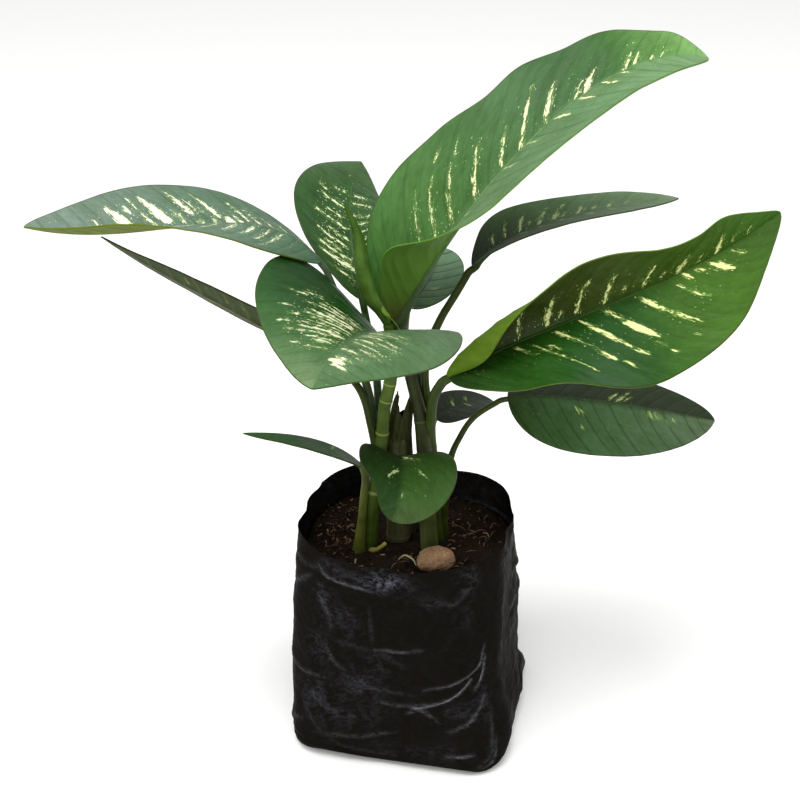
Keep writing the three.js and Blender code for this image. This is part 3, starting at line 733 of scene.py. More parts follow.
# %% Make the blades
LEAF_THICKNESS = 0.9
SMOOTH_PARTS = 0.12, 0.2, 0.08, 0.1  # by the midrib, the margin, the base and the tip
BIG_HALF = 35  # leaves wider than this have the finer grid
FINE_GRID, COARSE_GRID = (100, 230), (60, 150)  # columns, rows
OPEN_END = 0.0004  # the part of the midrib left free at either end


def swellings(name, leaf, s, t, vein_number, strength):
    """How far the skin swells out between two veins, and its broader unevenness."""
    a = np.abs(t)
    beat, half_beat = [np.abs(np.sin(k * np.pi * vein_number)) ** 0.7 for k in (1, 2)]
    fade = 1
    for part, distance in zip(SMOOTH_PARTS, (a, 1 - a, s, 1 - s)):
        fade = fade * np.clip(distance / part, 0, 1)
    size = PLEAT_HEIGHT * (0.55 + strength) * min(1, leaf["half"] / 45)
    surface = blade_points(leaf, s, t)
    lumps = 0.7 * smooth_noise(surface, 38, seed=len(name)) + 0.25 * smooth_noise(surface, 13, seed=3)
    pleats = size * fade * (beat - 0.6 + 0.12 * half_beat) + lumps * np.clip(a / 0.2, 0, 1)
    return surface + pleats[:, None] * blade_normals(leaf, s, t)


def make_blade(name, leaf):
    bm, across, even = new_grid(*(FINE_GRID if leaf["half"] > BIG_HALF else COARSE_GRID))
    s = np.clip(0.55 * even + 0.45 * (0.5 - 0.5 * np.cos(np.pi * even)), OPEN_END, 1 - OPEN_END)
    t = np.sign(across) * np.abs(across) ** 1.1
    a = np.abs(t)
    q = vein_place(leaf, s, t)
    length = midrib_length(leaf)
    count = round(length / VEIN_SPACING)
    vein_number = q * count + 0.16 * np.sin(2.1 * q * count + len(name))
    strength = np.where(t < 0, *VEIN_STRENGTH.get(name, PLAIN_VEINS))
    set_vertices(bm, swellings(name, leaf, s, t, vein_number, strength))
    piece = finish_piece("blade_" + name, bm, LEAF_SKINS, "leaf_" + name)

    width = half_width(leaf, s)
    corners = np.zeros(len(piece.data.loops), int)
    piece.data.loops.foreach_get("vertex_index", corners)
    places = np.stack([q * length * MM, t * width * MM], axis=1)[corners]
    uv = piece.data.uv_layers.new(name="veins")
    uv.data.foreach_set("uv", places.astype(np.float32).ravel())

    depth = depth_in_streaks(name, leaf, s, t, q)
    paint_leaf(piece, name, s, t)
    beside_streaks, outer_part = np.clip(1 + depth / 6, 0, 1), np.clip((a - 0.6) / 0.4, 0, 1)
    vein_distance = np.abs((vein_number + 0.5) % 1 - 0.5) / count * length * VEIN_SLANT
    add_values(piece, "cream", np.clip(depth, -5, 5))
    add_values(piece, "vein", vein_distance)
    add_values(piece, "margin", (1 - a) * width)
    add_values(piece, "vein_strength", strength)
    add_values(piece, "specks", GREENS_WITH_PAINTED_LIGHT[name][-1] * (0.4 + beside_streaks) - 0.25 * outer_part)
    solidify = thicken(piece, LEAF_THICKNESS)
    solidify.material_offset = solidify.material_offset_rim = 1
    return piece


for leaf_name, leaf_shape in LEAVES.items():
    blade = make_blade(leaf_name, leaf_shape)
    print(blade.name, round(midrib_length(leaf_shape)), "mm long,", len(blade.data.polygons), "faces")

# %% [markdown]
# ## Stalks and midribs
# A leaf's stalk runs on as its midrib, tapering to the tip. Both are one round tube: a grid rolled
# up, welded at its seam and closed at its ends. The stalk has a shallow groove on its upper side.

# %% Tubes
LEVEL = np.array([0.35, -0.9, 0.25])  # no stem runs this way, so it can tell a tube's sides apart
SCAR_SWELLING, SCAR_REACH = 0.3, 1.2
FAR_FROM_SCARS = 9.0
UNEVENNESS = 0.12


def tube(name, path, radius, skin, node=None, sides=24, step=1.6, groove=0.0, rings=(), shape=None):
    """A closed tube through a path in millimetres with a radius at each of its evenly spaced points."""
    path, radius = np.array(path, float), np.array(radius, float)
    length = path_length(along(path, np.linspace(0, 1, 400)))
    bm, turn, fraction = new_grid(sides, max(8, round(length / step)), uv="around")
    uv_layer = bm.loops.layers.uv["around"]
    for face in bm.faces:
        for loop in face.loops:
            loop[uv_layer].uv.x *= float(radius.mean()) * 2 * math.pi * MM
            loop[uv_layer].uv.y *= length * MM
    angle = np.pi * (turn + 1)
    centre = along(path, fraction)
    forward = unit(along(path, fraction + 0.004) - along(path, fraction - 0.004))
    side = unit(np.cross(forward, LEVEL))
    up = np.cross(side, forward)

    r = along(radius, fraction)
    to_end = np.minimum(fraction, 1 - fraction) * length
    r = r * np.sqrt(np.clip(1 - (1 - np.clip(to_end / r, 0, 1)) ** 2, 0.0004, 1))
    distance = np.full(len(r), FAR_FROM_SCARS)
    for ring in rings:
        from_ring = np.abs(fraction - ring) * length
        distance = np.minimum(distance, from_ring)
        r = r + SCAR_SWELLING * bell(from_ring, SCAR_REACH)
    r = r * (1 - groove * bell(angle - np.pi / 2, 0.5))
    if shape:
        r = shape(r, angle)
    points = centre + (np.cos(angle) * r)[:, None] * side + (np.sin(angle) * r)[:, None] * up
    uneven = UNEVENNESS * smooth_noise(points, 9, seed=len(name))
    points = points + uneven[:, None] * unit(points - centre + 1e-6)
    set_vertices(bm, points)
    for layer_name, values in (("ring", distance), ("run", fraction)):
        layer = bm.verts.layers.float.new(layer_name)
        for vertex, value in zip(bm.verts, values):
            vertex[layer] = value
    weld(bm, 0.002, lambda edge: True)
    return finish_piece(name, bm, [skin], node)


print("tubes ready")

# %% [markdown]
# The stem skin is smooth and green, with fine lines along its length, a paler line at each leaf
# scar, and brownish blotches where the old sheaths have dried.


# %% Stem materials
def stem_skin(name, low, high, scar, reach=1.0):
    # Fresh stem skin, grown: soft gloss, lengthwise lines, and corky scars where leaves fell.
    material, node = new_material(name, 0.45, 0.2)
    run, ring = [node("Attribute", {"attribute_name": name}, out="Fac") for name in ("run", "ring")]
    # Lines 0.8 mm apart and 25 mm long, and blotches of about 8 mm.
    lines = node("Mapping", {}, node("UVMap", {"uv_map": "around"}), Scale=(1 / 0.0008, 1 / 0.025, 1))
    lines = node("TexNoise", {}, lines, Scale=1.0, Detail=2.0)
    blotch = node("TexNoise", {}, node("TexCoord", {}, out="Object"), Scale=120.0, Detail=3.0)
    base = node("Mix", BLEND, node("MapRange", {}, run, 0.0, reach), low, high)
    base = node("Mix", MULTIPLY, node("MapRange", {}, lines, 0.35, 0.7, 0.0, 0.4), base, "#a8a878")
    base = node("Mix", MULTIPLY, node("MapRange", {}, blotch, 0.4, 0.75, 0.0, 0.6), base, "#8f8a5c")
    base = node("Mix", BLEND, node("MapRange", SMOOTH, ring, 0.3, 0.9, 0.6, 0.0), base, scar)
    return finish_material(material, base, lines, 0.35, 0.0004)


STALK_DARK = stem_skin("stalk_skin", "#2e3906", "#34440a", "#5f6a34")
STALK_PALE = stem_skin("stalk_pale", "#585f24", "#2c3a12", "#5f6a34")
MIDRIB_SKINS = {
    "top_right": stem_skin("midrib_top", "#221f08", "#6a8f58", "#5f5a34", reach=0.4),
    "left": stem_skin("midrib_left", "#28340f", "#6f8a70", "#7f8a4c"),
    "front": stem_skin("midrib_front", "#35501c", "#5f8052", "#7f8a4c"),
    "back_centre": stem_skin("midrib_back", "#2c3c14", "#3f6230", "#7f8a4c"),
    # This midrib is a dark line of painted shade, standing for the shade in the crease along it.
    "back_right": stem_skin("midrib_far_crease_shade", "#2c3c14", "#263a2c", "#5f6a34", reach=0.6),
    "right": stem_skin("midrib_right", "#343f10", "#2c4a10", "#7f8a4c"),
}
# Painted light: the centre cane is painted lighter all along, and the right cane low down, standing in for
# light that the leaves and the bag's rim shade off.
CANE_GREEN = stem_skin("cane_green", "#303f10", "#567022", "#8f9a54")
CANE_DARK = stem_skin("cane_old_painted_light", "#4d4b39", "#454a24", "#5a5d38")
CANE_MID = stem_skin("cane_middle", "#5d663b", "#273009", "#4a5426", reach=0.35)
print("stem materials made")

# %% [markdown]
# Each stalk's path is followed by the midrib's own curve, sunk a little into the underside of the
# blade, so that the rib stands out below and shows as a pale line above.

# %% Make the stalks
RIB_POINTS = 34
RIB_START = 3.4  # the thickest a midrib is, whatever its stalk


def rib_radius(leaf, s):
    start = min(leaf["radius"][-1], RIB_START)
    swollen = (leaf["radius"][-1] - start) * np.exp(-s * 40)
    slim = 0.55 if leaf["half"] > 25 else 0.4
    return swollen + start * (0.12 + 0.88 * (1 - s) ** 1.1) * (slim + (1 - slim) * np.exp(-s * 9))


for leaf_name, leaf_shape in LEAVES.items():
    s = np.linspace(0.012, 0.985, RIB_POINTS)
    midrib, _, _, up = midrib_frame(leaf_shape, s)
    rib = rib_radius(leaf_shape, s)
    sunk = 0.62 if leaf_name in MIDRIB_SKINS else 1.0
    stalk = np.array(leaf_shape["stalk"], float)
    spacing = midrib_length(leaf_shape) / RIB_POINTS
    steps = np.linspace(0, 1, max(4, round(path_length(stalk) / spacing)))[:-1]
    path = np.vstack([along(stalk, steps), midrib - up * (rib * sunk + 0.1)[:, None]])
    radii = np.concatenate([along(leaf_shape["radius"], steps), rib])
    skin = MIDRIB_SKINS.get(leaf_name, STALK_PALE if leaf_name == "left_small" else STALK_DARK)
    node = "leaf_" + leaf_name
    tube("stalk_" + leaf_name, path, radii, skin, node, sides=16, step=1.8, groove=0.12)
print("stalks and midribs made")

# %% [markdown]
# ## Canes
# The canes are jointed stems. A leaf leaves a scar right round the cane where it fell, so each
# cane has slightly swollen rings. The centre cane is an old stump, and the two dry points of its
# last sheath still stand on it.

# %% Make the canes
CANES = {  # path, radii, skin, places of the leaf scars
    "cane_left": (
        [(-27, -7, 122), (-28, -7, 133), (-26, -7, 172), (-20, -6, 218), (-18, -5, 241), (-14, -4, 261),
         (-12, -4, 278), (-13, -4, 292), (-15, -4, 305)],
        (5.5, 5.2, 4.8, 4.4, 4.2, 4.2, 4, 4.2, 4), CANE_GREEN, (0.12, 0.27, 0.4, 0.54, 0.62, 0.83),
    ),
    "cane_centre": (
        [(-9, 6, 122), (-8, 6, 133), (-8, 6, 164), (-8, 6, 196), (-8, 6, 221)],
        (9, 9, 8.6, 8.6, 7.6), CANE_DARK, (0.3, 0.52, 0.75),
    ),
    "cane_right": (
        [(13, -9, 122), (13, -9, 133), (11, -8, 172), (9, -5, 210), (6, -3, 236), (0, 0, 262), (-5, 0, 283),
         (-7, 0, 299)],
        (6.8, 6.4, 5.8, 5.4, 4.6, 4.2, 4.2, 4), CANE_MID, (0.14, 0.31, 0.55, 0.77),
    ),
}
for cane_name, (path, radii, skin, rings) in CANES.items():
    tube(cane_name + "_stem", path, radii, skin, cane_name, sides=32, step=1.0, rings=rings)
STUB_SKIN = stem_skin("stub_skin", "#6f7030", "#a59a50", "#c8b870")
STUB_PATH = [(-29, -9, 134), (-25, -14, 136), (-21, -17, 140), (-17, -19, 145)]
tube("broken_stub", STUB_PATH, (2.6, 1.8, 1.5, 1.4), STUB_SKIN, "broken_stalk", step=0.8)
print(len(CANES), "canes and a stub made")

# %% [markdown]
# The old leaf sheath wraps the top of the centre cane like torn paper. It is a rolled grid whose
# upper edge is cut into two ragged points, with a gap between them at the front and at the back.
# Two small shreds hang where the top right leaf has torn its own sheath.

# %% Make the dry sheath
SHEATH_FOOT = 184
SHEATH_TOP = (  # heights from the front by the right round to the front
    232, 244, 250, 251, 251, 248, 241, 233, 229, 230, 234, 241, 247, 250, 247, 240, 232,
)
SHEATH_SPAN = 66
SHEATH_RADIUS = (9.4, 9.2, 8.8, 8.4, 7.9, 7.0, 5.4)  # from the foot to the end of the span
SHEATH_CENTRE = (-7.8, 6.4)


def sheath_skin():
    # Dried sheath, papery: dull and fibrous, green brown below and browner at its torn edge.
    material, node = new_material("dry_sheath_skin", 0.75, 0.1)
    place = node("TexCoord", {}, out="Object")
    run = node("Attribute", {"attribute_name": "run"}, out="Fac")
    # Fibres 0.7 mm apart and 20 mm long, with blotches of 8 mm.
    fibres = node("TexNoise", {}, node("Mapping", {}, place, Scale=(1400, 1400, 50)), Scale=1.0, Detail=2.0)
    blotch = node("TexNoise", {}, place, Scale=120.0, Detail=3.0)
    base = node("Mix", BLEND, node("MapRange", {}, blotch, 0.35, 0.65), "#2f381a", "#3a3b20")
    base = node("Mix", BLEND, node("MapRange", {}, run, 0.75, 1.0, 0.0, 0.7), base, "#3a341c")
    base = node("Mix", MULTIPLY, node("MapRange", {}, fibres, 0.4, 0.65, 0.0, 0.7), base, "#8a8468")
    return finish_material(material, base, fibres, 0.6, 0.0005)


def make_sheath():
    bm, across, up = new_grid(120, 60)
    turn = (across + 1) / 2
    angle = 2 * np.pi * turn - np.pi / 2
    ring = np.stack([np.cos(angle), np.sin(angle), np.zeros(len(angle))], axis=1) * 9
    ragged = 2.2 * smooth_noise(ring, 2.2, seed=31) + 1.2 * smooth_noise(ring, 0.8, seed=32)
    top = along(SHEATH_TOP, turn) + np.where(np.abs(across) > 0.999, 0, ragged)
    z = SHEATH_FOOT + up * (top - SHEATH_FOOT)
    r = along(SHEATH_RADIUS, (z - SHEATH_FOOT) / SHEATH_SPAN)
    r = r + 0.35 * np.sin(11 * angle) * up
    r = r + 0.5 * smooth_noise(ring + z[:, None] * [0, 0, 0.12], 4, seed=33)
    x = 4 * np.clip((z - 215) / 35, 0, 1) ** 1.5 + SHEATH_CENTRE[0] + r * np.cos(angle)
    set_vertices(bm, np.stack([x, SHEATH_CENTRE[1] + 0.95 * r * np.sin(angle), z], axis=1))
    weld(bm, 0.02)
    height = np.array([v.co.z for v in bm.verts])
    piece = finish_piece("dry_sheath", bm, [sheath_skin()], "cane_centre")
    add_values(piece, "run", (height - SHEATH_FOOT) / SHEATH_SPAN)
    thicken(piece, 0.6)


make_sheath()
TORN_SKIN = stem_skin("torn_sheath_skin", "#6f9430", "#7f9c3c", "#a8b868")
SHRED_PATH = [(-19.5, -9, 320), (-18, -10.5, 316), (-15.5, -10.5, 313), (-13.5, -9.5, 310)]
THREAD_PATH = [(-13.5, -9.5, 310.5), (-10.5, -10, 307), (-7.5, -10, 302), (-5.5, -9, 299)]
tube("torn_sheath", SHRED_PATH, (0.5, 1.6, 1.4, 0.6), TORN_SKIN, sides=16, step=0.6, groove=0.45)
tube("torn_fibre", THREAD_PATH, (0.45, 0.32, 0.32, 0.5), TORN_SKIN, sides=10, step=0.6)
print("sheaths made")

# %% [markdown]
# ## The young leaf
# The newest leaf is still rolled up like a scroll. It is a sheet wound round itself by one turn and
# a bit, so its free edge shows as a line along the spike.

# %% Make the rolled leaf
ROLL_PATH = [
    (-15, -4, 303), (-20, -6, 315), (-27, -9, 328), (-31, -8, 347), (-34, -3, 366), (-43, 3, 386),
]
ROLL_RADIUS = (2.8, 4.2, 5.6, 4.7, 3.1, 0.8)
FREE_EDGE = 1.1  # how far round from the side the free edge lies, in radians
ROLL_STEP = 0.16  # how much the radius grows in one turn, as a share of it


def scroll(r, angle):
    turned = (angle + FREE_EDGE) % (2 * np.pi)
    return r * (1.0 + ROLL_STEP * turned / (2 * np.pi) - 0.1)


ROLLED_SKIN = stem_skin("young_leaf_skin", "#618237", "#315209", "#c8cf8a")
tube(
    "rolled_blade", ROLL_PATH, ROLL_RADIUS, ROLLED_SKIN, "leaf_rolled",
    sides=40, step=1.0, shape=scroll,
)
print("rolled leaf made")

# %% [markdown]
# ## The bag
# The pot is a gusseted bag of thin black polyethylene film. Filled with soil it stands as a soft
# rounded square. It is made as one wrapped grid from the middle of its base, up its wall to the
# rim, and Solidify gives the film its thickness.

# %% Bag levels
BAG_TURN = math.radians(-12)
BAG_LEVELS = {
    "z": (0, 5, 15, 27, 40, 60, 80, 110, 135, 156),
    "side": (150, 155, 157, 156, 153, 150, 149, 148, 147, 145),
    "corner": (16, 24, 30, 34, 37, 40, 42, 48, 56, 62),
    "shift": (0, 2, 2.4, 1.5, -0.5, -2.3, -2.5, -3, -3, -2),
    "slump": (0, -3, -4, -3.5, -3, -2, -1, 0, 0, 0),
}
BAG_HEIGHT = BAG_LEVELS["z"][-1]


def at_level(z, *keys):
    return [np.interp(z, BAG_LEVELS["z"], BAG_LEVELS[key]) for key in keys]


def bag_radius(z, angle, inset=0.0):
    """Distance from the bag's axis to its wall, in a direction measured from its own faces."""
    side, corner = at_level(z, "side", "corner")
    side = side - 2 * inset
    corner = np.maximum(corner - inset, 6)
    straight = side / 2 - corner
    x, y = np.abs(np.cos(angle)), np.abs(np.sin(angle))
    to_face = side / 2 / np.maximum(x, y)
    diagonal = straight * (x + y)
    to_corner = diagonal + np.sqrt(np.maximum(diagonal**2 - 2 * straight**2 + corner**2, 0))
    return np.where(to_face * np.minimum(x, y) <= straight, to_face, to_corner)


def bag_place(z, angle, radius):
    """From the bag's own directions to the model's frame."""
    x, y = at_level(z, "shift", "slump")
    turned = angle + BAG_TURN
    return np.stack([x + radius * np.cos(turned), y + radius * np.sin(turned), z], axis=1)


print("bag", BAG_HEIGHT, "mm high,", max(BAG_LEVELS["side"]), "mm wide at the most")

# %% [markdown]
# The creases are drawn on the unrolled wall: `w` is the distance round the bag in millimetres from
# the middle of the front face, and `z` the height. Each crease is a line with a sharp ridge and a
# hollow beside it. The front ones are listed one by one, and the rest are scattered.

# %% Creases
ROUND = 84.0  # millimetres of wall per radian
FACE = 74.0  # from the bag's axis to its front face
FRONT_HALF = 95.0  # half the stretch of wall whose creases are listed one by one
SCATTERED = 46


def around(c):
    """The distance round the wall of a place c millimetres across the front face."""
    return ROUND * math.atan2(c, FACE)


def wall_place(angle):
    return ((angle + np.pi / 2 + np.pi) % (2 * np.pi) - np.pi) * ROUND


CREASES = [
    # points as (across the front face, height), ridge height, ridge width, wear with painted highlight
    ([(24, 66), (56, 75), (74, 83), (84, 95)], 1.2, 1.4, 0.45),
    ([(16, 50), (26, 53), (39, 59), (50, 65), (62, 73)], 1.7, 1.5, 1.0),
    ([(65, 64), (75, 72), (84, 86)], 1.4, 1.4, 0.6),
    ([(-8, 52), (10, 51), (30, 56)], 0.9, 1.8, 0.15),
    ([(12, 45), (23, 49), (35, 41)], 0.8, 1.6, 0.2),
    ([(-47, 21), (-18, 23), (6, 30)], 0.9, 2.2, 0.1),
    ([(38, 15), (57, 18)], 0.8, 1.6, 0.3),
    ([(60, 6), (70, 14), (77, 25), (85, 48)], 1.4, 2.0, 0.12),
    ([(66, 4), (76, 10), (84, 26)], 1.1, 1.6, 0.25),
    ([(-60, 148), (-48, 143), (-26, 141), (-8, 138)], 1.2, 1.8, 0.3),
    ([(-13, 93), (8, 93), (23, 96)], 0.9, 1.6, 0.25),
    ([(-37, 96), (-11, 92), (12, 81)], 0.9, 3.0, 0.05),
    ([(-62, 59), (-41, 40), (-17, 37)], 0.9, 2.6, 0.05),
    ([(-66, 40), (-30, 14), (10, 9)], 0.8, 2.4, 0.05),
    ([(28, 136), (48, 131), (68, 141)], 0.8, 2.2, 0.08),
    ([(-11, 98), (-13, 125)], 0.5, 1.8, 0.08),
    ([(-30, 70), (-8, 62), (18, 60)], 0.6, 2.0, 0.08),
    ([(40, 34), (62, 44), (80, 60)], 0.8, 2.2, 0.2),
    ([(-58, 128), (-46, 118), (-40, 104)], 0.6, 1.8, 0.15),
    ([(-44, 92), (-38, 80), (-30, 74)], 0.5, 1.6, 0.15),
]


def scattered_creases():
    scatter = random.Random(11)
    for _ in range(SCATTERED):
        start = scatter.uniform(FRONT_HALF, 2 * math.pi * ROUND - FRONT_HALF)
        level = scatter.uniform(4, 150)
        run, rise = scatter.uniform(25, 70), scatter.uniform(-14, 18)
        sag = scatter.uniform(-10, 10)
        shares = [k / 3 for k in range(4)]
        points = [(start + run * f, level + rise * f + sag * math.sin(math.pi * f)) for f in shares]
        yield points, scatter.uniform(0.5, 1.5), scatter.uniform(1.5, 3), scatter.uniform(0.04, 0.26)


def near_line(line, w, z):
    """Each place's distance from a line on the wall, its share along it and its offset across it."""
    nearest, share, across = np.full(len(w), 1e9), np.zeros(len(w)), np.zeros(len(w))
    for k, (p, d) in enumerate(zip(line, np.diff(line, axis=0))):
        dw = (w - p[0] + math.pi * ROUND) % (2 * math.pi * ROUND) - math.pi * ROUND
        f = np.clip((dw * d[0] + (z - p[1]) * d[1]) / (d @ d), 0, 1)
        off_w, off_z = dw - f * d[0], z - p[1] - f * d[1]
        distance = np.hypot(off_w, off_z)
        closer = distance < nearest
        nearest = np.where(closer, distance, nearest)
        share = np.where(closer, (k + f) / (len(line) - 1), share)
        across = np.where(closer, (off_z * d[0] - off_w * d[1]) / np.hypot(*d), across)
    return nearest, share, across


def creases_at(w, z):
    """The height of the creases and how pale their ridges are with wear and painted highlight, at places on
    the wall.
    """
    height, wear = np.zeros(len(w)), np.zeros(len(w))
    lines = [([(around(c), y) for c, y in points], *rest) for points, *rest in CREASES]
    for points, ridge, width, worn_highlight in [*lines, *scattered_creases()]:
        nearest, share, across = near_line(along(points, np.linspace(0, 1, 24)), w, z)
        fade = np.sin(np.pi * np.clip(share, 0.02, 0.98)) ** 0.5
        hollow = 0.6 * bell(across + 1.9 * width, 1.1 * width) * bell(nearest, 4 * width)
        height += ridge * fade * (bell(nearest, width, 1.3) - hollow)
        wear = np.maximum(wear, worn_highlight * fade * bell(nearest, 0.7 * width))
    return height, wear


print(len(CREASES), "creases placed and", SCATTERED, "scattered")

# %% [markdown]
# The film is black and slightly glossy. Handling leaves it dusty and scuffed, which shows as
# bluish grey patches, mostly where it is folded at the rim and where it bulges. These patches are
# partly painted sheen, and the pale wear on the crease ridges is partly painted highlight.


# %% Film material
def black_film():
    # Polyethylene with carbon black, blown as a thin tube: black, softly glossy, scuffed grey, with
    # painted sheen in its dusty patches and painted highlights on its worn crease ridges.
    material, node = new_material("polyethylene_film", 0.35, 0.002, 1.5)
    place = node("TexCoord", {}, out="Object")
    dust, wear = [node("Attribute", {"attribute_name": name}, out="Fac") for name in ("dust", "wear")]
    # Dust and painted sheen lie in clouds of about 15 mm, broken up by scuffs 2 to 4 mm long.
    cloud = node("TexNoise", {}, place, Scale=65.0, Detail=5.0, Roughness=0.65, Distortion=1.2)
    scuff = node("Mapping", {}, place, Rotation=(0.2, 0.7, 0.3), Scale=(240, 240, 420))
    scuff = node("TexNoise", {}, scuff, Scale=1.0, Detail=4.0, Roughness=0.7, Distortion=0.8)
    dusty_sheen = node("MapRange", {}, node("Math", TIMES, cloud, scuff), 0.2, 0.42, 0.0, 0.8)
    dusty_sheen = node("Math", {**TIMES, "use_clamp": True}, dusty_sheen, dust)
    film = node("Mix", BLEND, dusty_sheen, "#110f0c", "#4b4c55")
    # Pale wear on the crease ridges, partly a painted highlight.
    worn_highlight = node("Math", {**TIMES, "use_clamp": True}, wear, node("MapRange", {}, scuff, 0.35, 0.6))
    film = node("Mix", BLEND, worn_highlight, film, "#82848a")
    gloss = node("MapRange", {}, cloud, 0.35, 0.65, 0.26, 0.46)
    # The film is crumpled finely, in folds of about 8 mm that lie rather level.
    crumple = node("Mapping", {}, place, Scale=(1, 1, 1.8))
    crumple = node("TexNoise", {}, crumple, Scale=120.0, Detail=4.0, Roughness=0.6)
    return finish_material(material, film, crumple, 0.5, 0.0012, gloss)


FILM = black_film()
FILM_THICKNESS = 0.35
print("film", FILM_THICKNESS, "mm thick")

# %% [markdown]
# Rows run from the middle of the base to the rim. Low on the wall the film is gathered in small
# level folds, and along the front left the rim is folded down outside as a narrow cuff. The back
# right corner of the base is tucked in.

# %% Make the bag
COLUMNS, BASE_ROWS, WALL_ROWS = 330, 14, 122
WALL_INSET = 1.2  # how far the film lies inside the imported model's wall, before its relief
CUFF_MIDDLE, CUFF_HALF, CUFF_EDGE = -45, 62, 141
CUFF_STEP = 1.1
FLAP_FOOT = 136  # above this height the rim flutters
BACK_RIGHT_TUCK, FRONT_LEFT_TUCK = 10.5, 4.5
# Patches of dust and painted sheen on the film.
DUST_AND_SHEEN = [
    # across the front face, height, half width, half height, amount
    (-4, 147, 16, 6.5, 2.2), (-40, 149, 12, 5, 0.5), (-50, 128, 8, 9, 0.6), (-34, 116, 10, 8, 0.35),
    (-24, 104, 7, 12, 0.3), (-12, 80, 14, 9, 0.35), (-16, 62, 16, 10, 0.4), (-50, 88, 10, 14, 0.35),
    (-30, 40, 26, 12, 0.25), (66, 146, 9, 9, 0.6), (58, 120, 8, 8, 0.2), (30, 132, 12, 5, 0.25),
    (46, 50, 22, 6, 0.3), (20, 16, 30, 8, 0.2), (-50, 52, 18, 14, 0.3), (72, 60, 8, 20, 0.3),
]


def wall_relief(points, angle, w, z):
    """How far the film stands out from the bag's plain shape."""
    bulge = 1.6 * smooth_noise(points, 45, seed=1) + 0.8 * smooth_noise(points, 17, seed=2)
    fine = 0.35 * smooth_noise(points * np.array([1, 1, 1.6]), 6, seed=4)
    gather = 0.5 * np.sin(z * 1.15 + 2.5 * smooth_noise(points, 30, seed=5)) * bell(z, 13)
    edge = CUFF_EDGE + 3 * np.sin(5 * angle) + 5 * smooth_noise(points, 20, seed=6)
    cuff = CUFF_STEP / (1 + np.exp(-(z - edge) * 1.2)) * bell(w - CUFF_MIDDLE, CUFF_HALF, 4)
    flap = 1.5 * np.sin(9 * angle + 1.5 * np.sin(4 * angle)) * np.clip((z - FLAP_FOOT) / 20, 0, 1) ** 2
    return creases_at(w, z)[0] + bulge + fine + gather + cuff + flap


def make_bag():
    bm, turn, up = new_grid(COLUMNS, BASE_ROWS + WALL_ROWS)
    row = np.round(up * (BASE_ROWS + WALL_ROWS))
    angle = np.pi * turn - np.pi / 2
    degrees = np.degrees(angle)
    # The rim waves, and a small nick of film stands up at the back.
    rim = BAG_HEIGHT + 1.3 * np.sin(3 * angle + 0.6) + 0.8 * np.sin(7 * angle + 2)
    rim = rim + 3.5 * bell(degrees - 82, 1.6)
    z = np.where(row < BASE_ROWS, 0, np.clip((row - BASE_ROWS) / WALL_ROWS, 0, 1) * rim)
    inward = np.where(row < BASE_ROWS, (row + 0.15) / BASE_ROWS, 1)
    radius = bag_radius(z, angle) * inward
    relief = wall_relief(bag_place(z, angle, radius), angle, wall_place(angle), z)
    front_left = FRONT_LEFT_TUCK * bell(degrees + 135, 20) * np.clip(1 - z / 18, 0, 1) ** 2
    back_right = BACK_RIGHT_TUCK * bell(degrees - 45, 24) * bell(z - 25, 19)
    radius = radius + relief * np.clip(z / 5, 0, 1) - WALL_INSET - front_left - back_right
    set_vertices(bm, bag_place(z, angle, radius))
    weld(bm, 0.02, lambda edge: edge.is_boundary and edge.verts[0].co.z < 1)
    lowest = min(bm.faces, key=lambda face: face.calc_center_median().z)
    if lowest.normal.z > 0:
        bmesh.ops.reverse_faces(bm, faces=bm.faces)
    points = np.array([v.co for v in bm.verts])
    piece = finish_piece("film_bag", bm, [FILM], "grow_bag")

    w = wall_place(np.arctan2(points[:, 1], points[:, 0]) - BAG_TURN)
    z = points[:, 2]
    # Dust with painted sheen: a little all round, more away from the front, most in the patches.
    dust = np.where(np.abs(w) > FRONT_HALF, 0.15, 0.05)
    for c, level, wide, high, amount in DUST_AND_SHEEN:
        dust = dust + amount * bell(w - around(c), wide) * bell(z - level, high)
    add_values(piece, "dust", dust)
    # Wear on the crease ridges, with their painted highlight.
    add_values(piece, "wear", creases_at(w, z)[1])
    thicken(piece, FILM_THICKNESS)
    return piece


bag = make_bag()
print("bag has", len(bag.data.polygons), "faces")

# %% [markdown]
# ## Potting mix
# The bag is filled to 133 mm with a dark mix of peat and composted bark, mounded a little round
# the canes. Its surface is a round grid with lumps of three sizes.

# %% Make the surface of the mix
SOIL_LEVEL = 133
SOIL_INSET = 3.4
SOIL_DEPTH = 5
MOUND_HEIGHT, MOUND_WIDTH = 3.0, 38


def mound(x, y):
    return MOUND_HEIGHT * np.exp(-(x * x + y * y) / MOUND_WIDTH**2)


def potting_mix():
    # Damp peat and bark, crumbled: dead matt, nearly black, with browner grains.
    material, node = new_material("peat_and_bark", 0.95, 0.05)
    place = node("TexCoord", {}, out="Object")
    # Grains of about 2 mm and clumps of about 11 mm.
    grain = node("TexNoise", {}, place, Scale=420.0, Detail=5.0, Roughness=0.7)
    clump = node("TexNoise", {}, place, Scale=90.0, Detail=3.0)
    # Painted light: these colours are raised to stand in for light that the canes and the bag's rim shade
    # off.
    base = node("Mix", BLEND, clump, "#1a140f", "#2e251b")
    base = node("Mix", BLEND, node("MapRange", {}, grain, 0.6, 0.8, 0.0, 0.5), base, "#4e3726")
    return finish_material(material, base, grain, 0.9, 0.0015)


